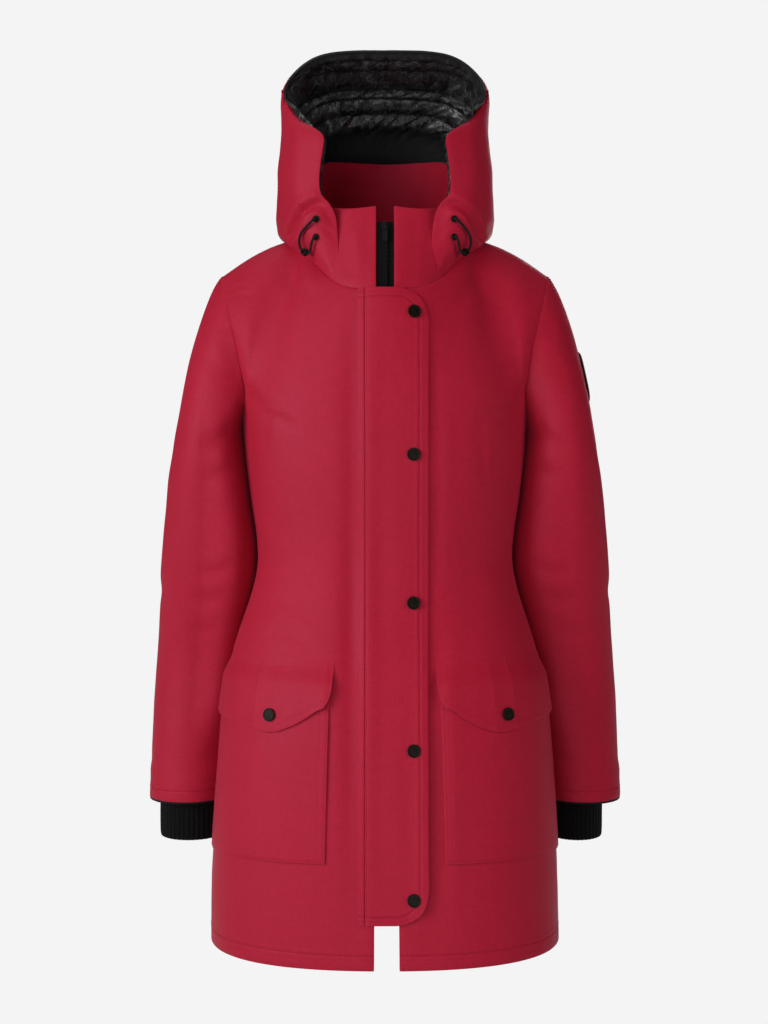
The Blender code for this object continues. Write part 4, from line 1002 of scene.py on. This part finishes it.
def buildCuffs():
    knit = knitMaterial()
    tape = wovenMaterial("facing_tape", (0.004, 0.004, 0.0045, 1), (0.012, 0.012, 0.013, 1), 1.0, 0.05)
    for side in ("right", "left"):
        piece = wholeSolid("knit_cuff_" + side, "knit_" + side, 70, cuffLook["level"], knit)
        if side == "left":
            squeezeCuff(piece.data)
        rounded(piece, 1.2, 60)
        shaded(piece)
        settle(piece, "rib_knit", "knit_cuff_" + side)
        dress(nodes["cuff_facing_" + side].data, tape)
    print("cuffs")


buildCuffs()


# Hard pieces, modelled once where they repeat

def nodePlace(name):
    # middle and axis of a small round node
    unique = np.unique(readPoints(nodes[name].data).round(6), axis=0)
    middle = unique.mean(axis=0)
    spread = np.linalg.svd(unique - middle, full_matrices=False)[2]
    return Vector(middle), Vector(spread[2]).normalized()


def editing(made, wanted, steps):
    # opens the piece in edit mode, and runs each step with the wanted faces selected
    bpy.ops.object.select_all(action="DESELECT")
    made.select_set(True)
    bpy.context.view_layer.objects.active = made
    bpy.ops.object.mode_set(mode="EDIT")
    bpy.ops.mesh.select_mode(type="FACE")
    for step in steps:
        bpy.ops.mesh.select_all(action="DESELECT")
        mesh = bmesh.from_edit_mesh(made.data)
        for face in mesh.faces:
            face.select_set(wanted(face))
        mesh.select_flush_mode()
        bmesh.update_edit_mesh(made.data)
        step()
    bpy.ops.object.mode_set(mode="OBJECT")


# each inset of the cap: how far in, and how far up
snapLook = dict(radius=7.6, height=2.6, insets=[(1.1, 0), (0.5, -0.5), (3.4, 0.35), (1.8, 0.12)])
beadLook = dict(radius=4.3, length=6.2, wall=2.3, round=0.9)


def insetStep(thickness, depth=0):
    return lambda: bpy.ops.mesh.inset(thickness=thickness * mm, depth=depth * mm)


def cylinder(vertices, radius, depth):
    bpy.ops.mesh.primitive_cylinder_add(vertices=vertices, radius=radius * mm, depth=depth * mm,
                                        location=(0, 0, 0))
    return bpy.context.object


def modelSnap():
    # cap of a snap: a domed disc with a rolled rim and a shallow dish
    snap = cylinder(48, snapLook["radius"], snapLook["height"])
    top = lambda face: face.normal.z > 0.9 and face.calc_center_median().length < 3 * mm
    editing(snap, top, [insetStep(*inset) for inset in snapLook["insets"]])
    rounded(snap, 0.35, 30, 3)
    shaded(snap, 45)
    return snap


def copiedTo(model, name, place, axis, material):
    # a copy with its own mesh, turned from +Z to the axis and set in its mesh
    made = linked(name, model.data.copy())
    turn = axis.to_track_quat("Z", "Y").to_matrix().to_4x4()
    made.data.transform(Matrix.Translation(place) @ turn)
    dress(made.data, material)
    return made


def copiedOnto(model, prefix, nodeNames, material):
    # a copy in place of each node, facing out of the cloth
    for name in nodeNames:
        place, axis = nodePlace(name)
        outwardAxis = axis if axis.dot(Vector((place.x * 0.4, -1, 0))) > 0 else -axis
        made = copiedTo(model, prefix + name, place, outwardAxis, material)
        settle(made, "snap_metal", name)
    dropModel(model)


def buildSnaps():
    dark = metalMaterial("snap_enamel", (0.0035, 0.0026, 0.0012, 1), (0.0075, 0.0056, 0.0028, 1), 0.5)
    names = [f"snap_{count}" for count in range(1, 6)] + ["pocket_snap_right", "pocket_snap_left"]
    copiedOnto(modelSnap(), "cap_", names, dark)
    print("snaps")
    return dark


darkMetal = buildSnaps()

eyeletLook = dict(radius=2.7, rim=1.45)


def buildEyelets():
    e = eyeletLook
    bpy.ops.mesh.primitive_torus_add(major_radius=e["radius"] * mm, minor_radius=e["rim"] * mm,
                                     major_segments=32, minor_segments=12)
    model = bpy.context.object
    model.data.transform(Matrix.Diagonal((1, 1, 0.75, 1)))
    shaded(model)
    names = [f"eyelet_{side}_{count}" for side in ("right", "left") for count in (1, 2)]
    copiedOnto(model, "ring_", names, darkMetal)
    print("eyelets")


buildEyelets()

# Drawcords: the wearer's left one by its points, the right one mirrored
cordLook = dict(radius=1.5, steps=41, points=[
    (81.7, -94.9, 16.0), (82.6, -98.0, 15.5), (85.6, -99.2, 13.2), (90.5, -95.2, 9.5),
    (96.5, -89.2, 4.5), (100.8, -83.6, -1.5), (102.4, -80.2, -8.0), (101.4, -79.6, -14.0),
    (99.0, -81.5, -18.8), (96.7, -83.0, -20.4), (94.4, -84.5, -22.0), (92.1, -86.0, -23.6),
    (89.0, -89.6, -20.6), (87.3, -93.2, -14.5), (85.6, -96.2, -9.0), (83.2, -96.8, -5.8),
    (81.9, -93.8, -5.1)])


def modelBead():
    # a cord end cap: a short barrel with a bore and rounded ends
    bead = cylinder(32, beadLook["radius"], beadLook["length"])
    ends = lambda face: abs(face.normal.z) > 0.9 and face.calc_center_median().xy.length < 1 * mm
    editing(bead, ends, [insetStep(beadLook["wall"]), bpy.ops.mesh.bridge_edge_loops])
    rounded(bead, beadLook["round"], 50, 3)
    shaded(bead)
    return bead


def buildCords():
    braid = wovenMaterial("cord_braid", (0.004, 0.004, 0.0045, 1), (0.016, 0.015, 0.016, 1), 1.1, 0.16, 0.7)
    model = modelBead()
    for side, sign in (("right", -1), ("left", 1)):
        line = curved(np.array(cordLook["points"]) * (sign, 1, 1) * mm, cordLook["steps"])
        curve = bpy.data.curves.new("cord_" + side, "CURVE")
        curve.dimensions = "3D"
        curve.bevel_depth = cordLook["radius"] * mm
        curve.bevel_resolution = 4
        curve.use_fill_caps = True
        spline = curve.splines.new("POLY")
        spline.points.add(len(line) - 1)
        for point, place in zip(spline.points, line):
            point.co = (*place, 1)
        curve.materials.append(braid)
        cord = linked("cord_" + side, curve)
        length = float(np.linalg.norm(np.diff(line, axis=0), axis=1).sum())
        place, axis = nodePlace("cord_bead_" + side)
        bead = copiedTo(model, "bead_" + side, place, axis, darkMetal)
        settle(bead, "snap_metal", "cord_bead_" + side)
        settle(cord, "black_cord", "drawcord_" + side)
        print("drawcord:", side, round(length, 4), "m")
    dropModel(model)


buildCords()

# Zip: teeth along the chain, better finishes on the tape, slider and pull tab
zipLook = dict(pitch=2.6, width=2.3, height=1.5, deep=1.2, reach=1.15, top=-3.0, bottom=-786.0)


def addCopy(mesh, data, placed):
    copy = data.copy()
    copy.transform(placed)
    mesh.from_mesh(copy)
    bpy.data.meshes.remove(copy)


def buildZip():
    tape = wovenMaterial("zip_tape_cloth", (0.0008, 0.0008, 0.001, 1), (0.0028, 0.0028, 0.0031, 1), 0.9, 0.06)
    teethMaterial = metalMaterial("zip_teeth", (0.004, 0.004, 0.0045, 1), (0.010, 0.010, 0.011, 1), 0.5)
    for name in ("zip_tape", "zip_chain"):
        dress(nodes[name].data, tape)
    for name in ("zip_slider", "zip_pull"):
        metal = metalMaterial(name + "_metal", (0.006, 0.006, 0.0065, 1), (0.014, 0.014, 0.015, 1), 0.42)
        dress(nodes[name].data, metal)
    front = BVHTree.FromObject(nodes["zip_chain"], bpy.context.evaluated_depsgraph_get())
    z = zipLook
    bpy.ops.mesh.primitive_cube_add(size=1.0, location=(0, 0, 0))
    tooth = bpy.context.object
    tooth.data.transform(Matrix.Diagonal((z["width"] * mm, z["deep"] * mm, z["height"] * mm, 1)))
    applied(tooth, "BEVEL", width=0.3 * mm, segments=1)
    mesh = bmesh.new()
    steps = int((z["top"] - z["bottom"]) / z["pitch"])
    for count in range(steps):
        height = (z["bottom"] + count * z["pitch"]) * mm
        side = 1 if count % 2 else -1
        hit = front.ray_cast(Vector((side * z["reach"] * mm, -0.3, height)), Vector((0, 1, 0)))
        if hit[0] is None:
            continue
        turn = (-hit[1] if hit[1].y > 0 else hit[1]).to_track_quat("-Y", "Z").to_matrix().to_4x4()
        addCopy(mesh, tooth.data, Matrix.Translation(hit[0] + hit[1] * 0.2 * mm) @ turn)
    made = newObject("zip_teeth", mesh, teethMaterial)
    dropModel(tooth)
    settle(made, "black_tape")
    print("zip:", steps, "teeth")


buildZip()

# Round sleeve patch: bare twill, its edge overcast with close stitches
patchLook = dict(stitches=150, inset=1.4, radius=0.8, length=2.6, proud=0.5)


def patchRim(piece):
    # one rounded bar, copied round the edge
    look = patchLook
    middle, axis = nodePlace("sleeve_patch")
    axis = axis if axis.x > 0 else -axis
    tree = treeOf([piece])
    up = (Vector((0, 0, 1)) - axis * axis.z).normalized()
    level = axis.cross(up)
    points = readPoints(piece.data)
    reach = max((Vector(point) - middle).cross(axis).length for point in points) - look["inset"] * mm
    bpy.ops.mesh.primitive_uv_sphere_add(segments=8, ring_count=6, radius=1.0, location=(0, 0, 0))
    model = bpy.context.object
    halves = [look["length"] / 2 * mm, look["radius"] * mm, look["proud"] * mm]
    model.data.transform(Matrix.Diagonal((*halves, 1)))
    rim = bmesh.new()
    for turn in np.arange(0, 2 * pi, 2 * pi / look["stitches"]):
        out = up * cos(turn) + level * sin(turn)
        hit = tree.ray_cast(middle + out * reach + axis * 0.05, -axis)
        if hit[0] is None:
            continue
        normal = hit[1]
        along = (out - normal * out.dot(normal)).normalized()
        across = normal.cross(along)
        placed = Matrix((along, across, normal)).transposed().to_4x4()
        addCopy(rim, model.data, Matrix.Translation(hit[0]) @ placed)
    dropModel(model)
    thread = wovenMaterial("patch_rim", (0.012, 0.010, 0.012, 1), (0.035, 0.03, 0.033, 1), 0.9, 0.1)
    made = newObject("patch_rim", rim, thread)
    shaded(made)
    settle(made, "patch_cloth")


def buildPatch():
    piece = wholeSolid("sleeve_patch", "patch_twill", 60, 2, patchMaterial())
    shaded(piece)
    settle(piece, "patch_cloth", "sleeve_patch")
    patchRim(piece)
    print("patch")


buildPatch()


# Sewing: short raised stitches in rows on the finished cloth

def fromFront(tree, x, z):
    return tree.ray_cast(Vector((x * mm, -0.5, z * mm)), Vector((0, 1, 0)))


def spaced(line, pitch):
    # even steps along a line of points
    line = np.array(line, float)
    run = np.concatenate([[0], np.cumsum(np.linalg.norm(np.diff(line, axis=0), axis=1))])
    at = np.arange(0, run[-1], pitch)
    return np.stack([np.interp(at, run, line[:, axis]) for axis in range(line.shape[1])], 1)


stitchLook = dict(pitch=3.5, length=2.5, radius=0.27, proud=0.12, sunk=-0.25)


def addStitch(mesh, place, normal, run):
    # a small bar that dips into the cloth at both ends
    s = stitchLook
    side = run.cross(normal).normalized()
    rings = []
    for share, lift in ((-0.5, s["sunk"]), (-0.3, s["proud"]), (0.3, s["proud"]), (0.5, s["sunk"])):
        middle = place + run * share * s["length"] * mm + normal * lift * mm
        ring = [mesh.verts.new(middle + (side * cos(turn) + normal * sin(turn)) * s["radius"] * mm)
                for turn in (pi / 4, 3 * pi / 4, 5 * pi / 4, 7 * pi / 4)]
        rings.append(ring)
    for low, high in zip(rings, rings[1:]):
        for count in range(4):
            after = (count + 1) % 4
            mesh.faces.new((low[count], low[after], high[after], high[count]))
    mesh.faces.new(rings[0][::-1])
    mesh.faces.new(rings[-1])


def sewRow(mesh, hits):
    for before, hit, after in zip(hits, hits[1:], hits[2:]):
        if hit[0] is None or before[0] is None or after[0] is None:
            continue
        run = after[0] - before[0]
        if run.length < 12 * mm:
            addStitch(mesh, hit[0], hit[1], run.normalized())


def stormRow():
    s = stormStitch
    r = s["corner"]
    arcs = [(s["x"] - r + r * sin(turn), s["top"] - r + r * cos(turn)) for turn in np.linspace(0, pi / 2, 9)]
    down = [(s["x"] - r + r * sin(turn), s["bottom"] + r + r * cos(turn))
            for turn in np.linspace(pi / 2, pi, 9)]
    return [(-21, s["top"])] + arcs + down + [(-21, s["bottom"])]


# rows on the wearer's left pocket and its flap; the right ones are mirrored
pocketRows = {"pocket_": [(66, -512), (69, -620), (72, -729), (110, -730.5), (165, -732.5), (196, -735)],
              "pocket_flap_": [(65, -503), (65, -536), (68.5, -546), (81, -553), (132, -579), (167, -571),
                               (190, -569)]}
# rings of sewing: the radius that spaces the stitches in mm, and from how far out they seek the cloth in m
hemRing = dict(radius=182, reach=0.5)
cuffRing = dict(radius=54, reach=0.12, x=0.2535, y=0.0735)


def sewLine(mesh, tree, line):
    sewRow(mesh, [fromFront(tree, x, z) for x, z in spaced(line, stitchLook["pitch"])])


def sewRing(mesh, pieces, ring, middle):
    tree = treeOf(pieces)
    turns = np.arange(0, 2 * pi, stitchLook["pitch"] / ring["radius"])
    outs = [Vector((sin(turn), -cos(turn), 0)) for turn in turns]
    sewRow(mesh, [tree.ray_cast(middle + out * ring["reach"], -out) for out in outs])


def buildSewing():
    rows = bmesh.new()
    flap = treeOf([laidOn["storm_flap"]])
    sewLine(rows, flap, stormRow())
    groove = stormStitch["groove"] + 1.4
    sewLine(rows, flap, [(groove, -74), (groove, -798)])
    for side, sign in (("right", -1), ("left", 1)):
        for name, line in pocketRows.items():
            sewLine(rows, treeOf([laidOn[name + side]]), [(sign * x, z) for x, z in line])
    shell = [cloth["front_right"], cloth["front_left"], cloth["back"]]
    sewRing(rows, shell, hemRing, Vector((0, 0, hemLine)))
    for side, sign in (("right", -1), ("left", 1)):
        middle = Vector((sign * cuffRing["x"], cuffRing["y"], cuffLine))
        sewRing(rows, [cloth["sleeve_" + side]], cuffRing, middle)
    thread = wovenMaterial("red_thread", (0.33, 0.0065, 0.022, 1), (0.41, 0.0092, 0.029, 1), 0.5, 0.03)
    made = newObject("sewing", rows, thread)
    settle(made, "shell_fabric")
    print("sewing:", len(made.data.polygons), "faces")


buildSewing()

for name, node in nodes.items():
    if not node.hide_render and not node.data.materials:
        print("no finish on", name)
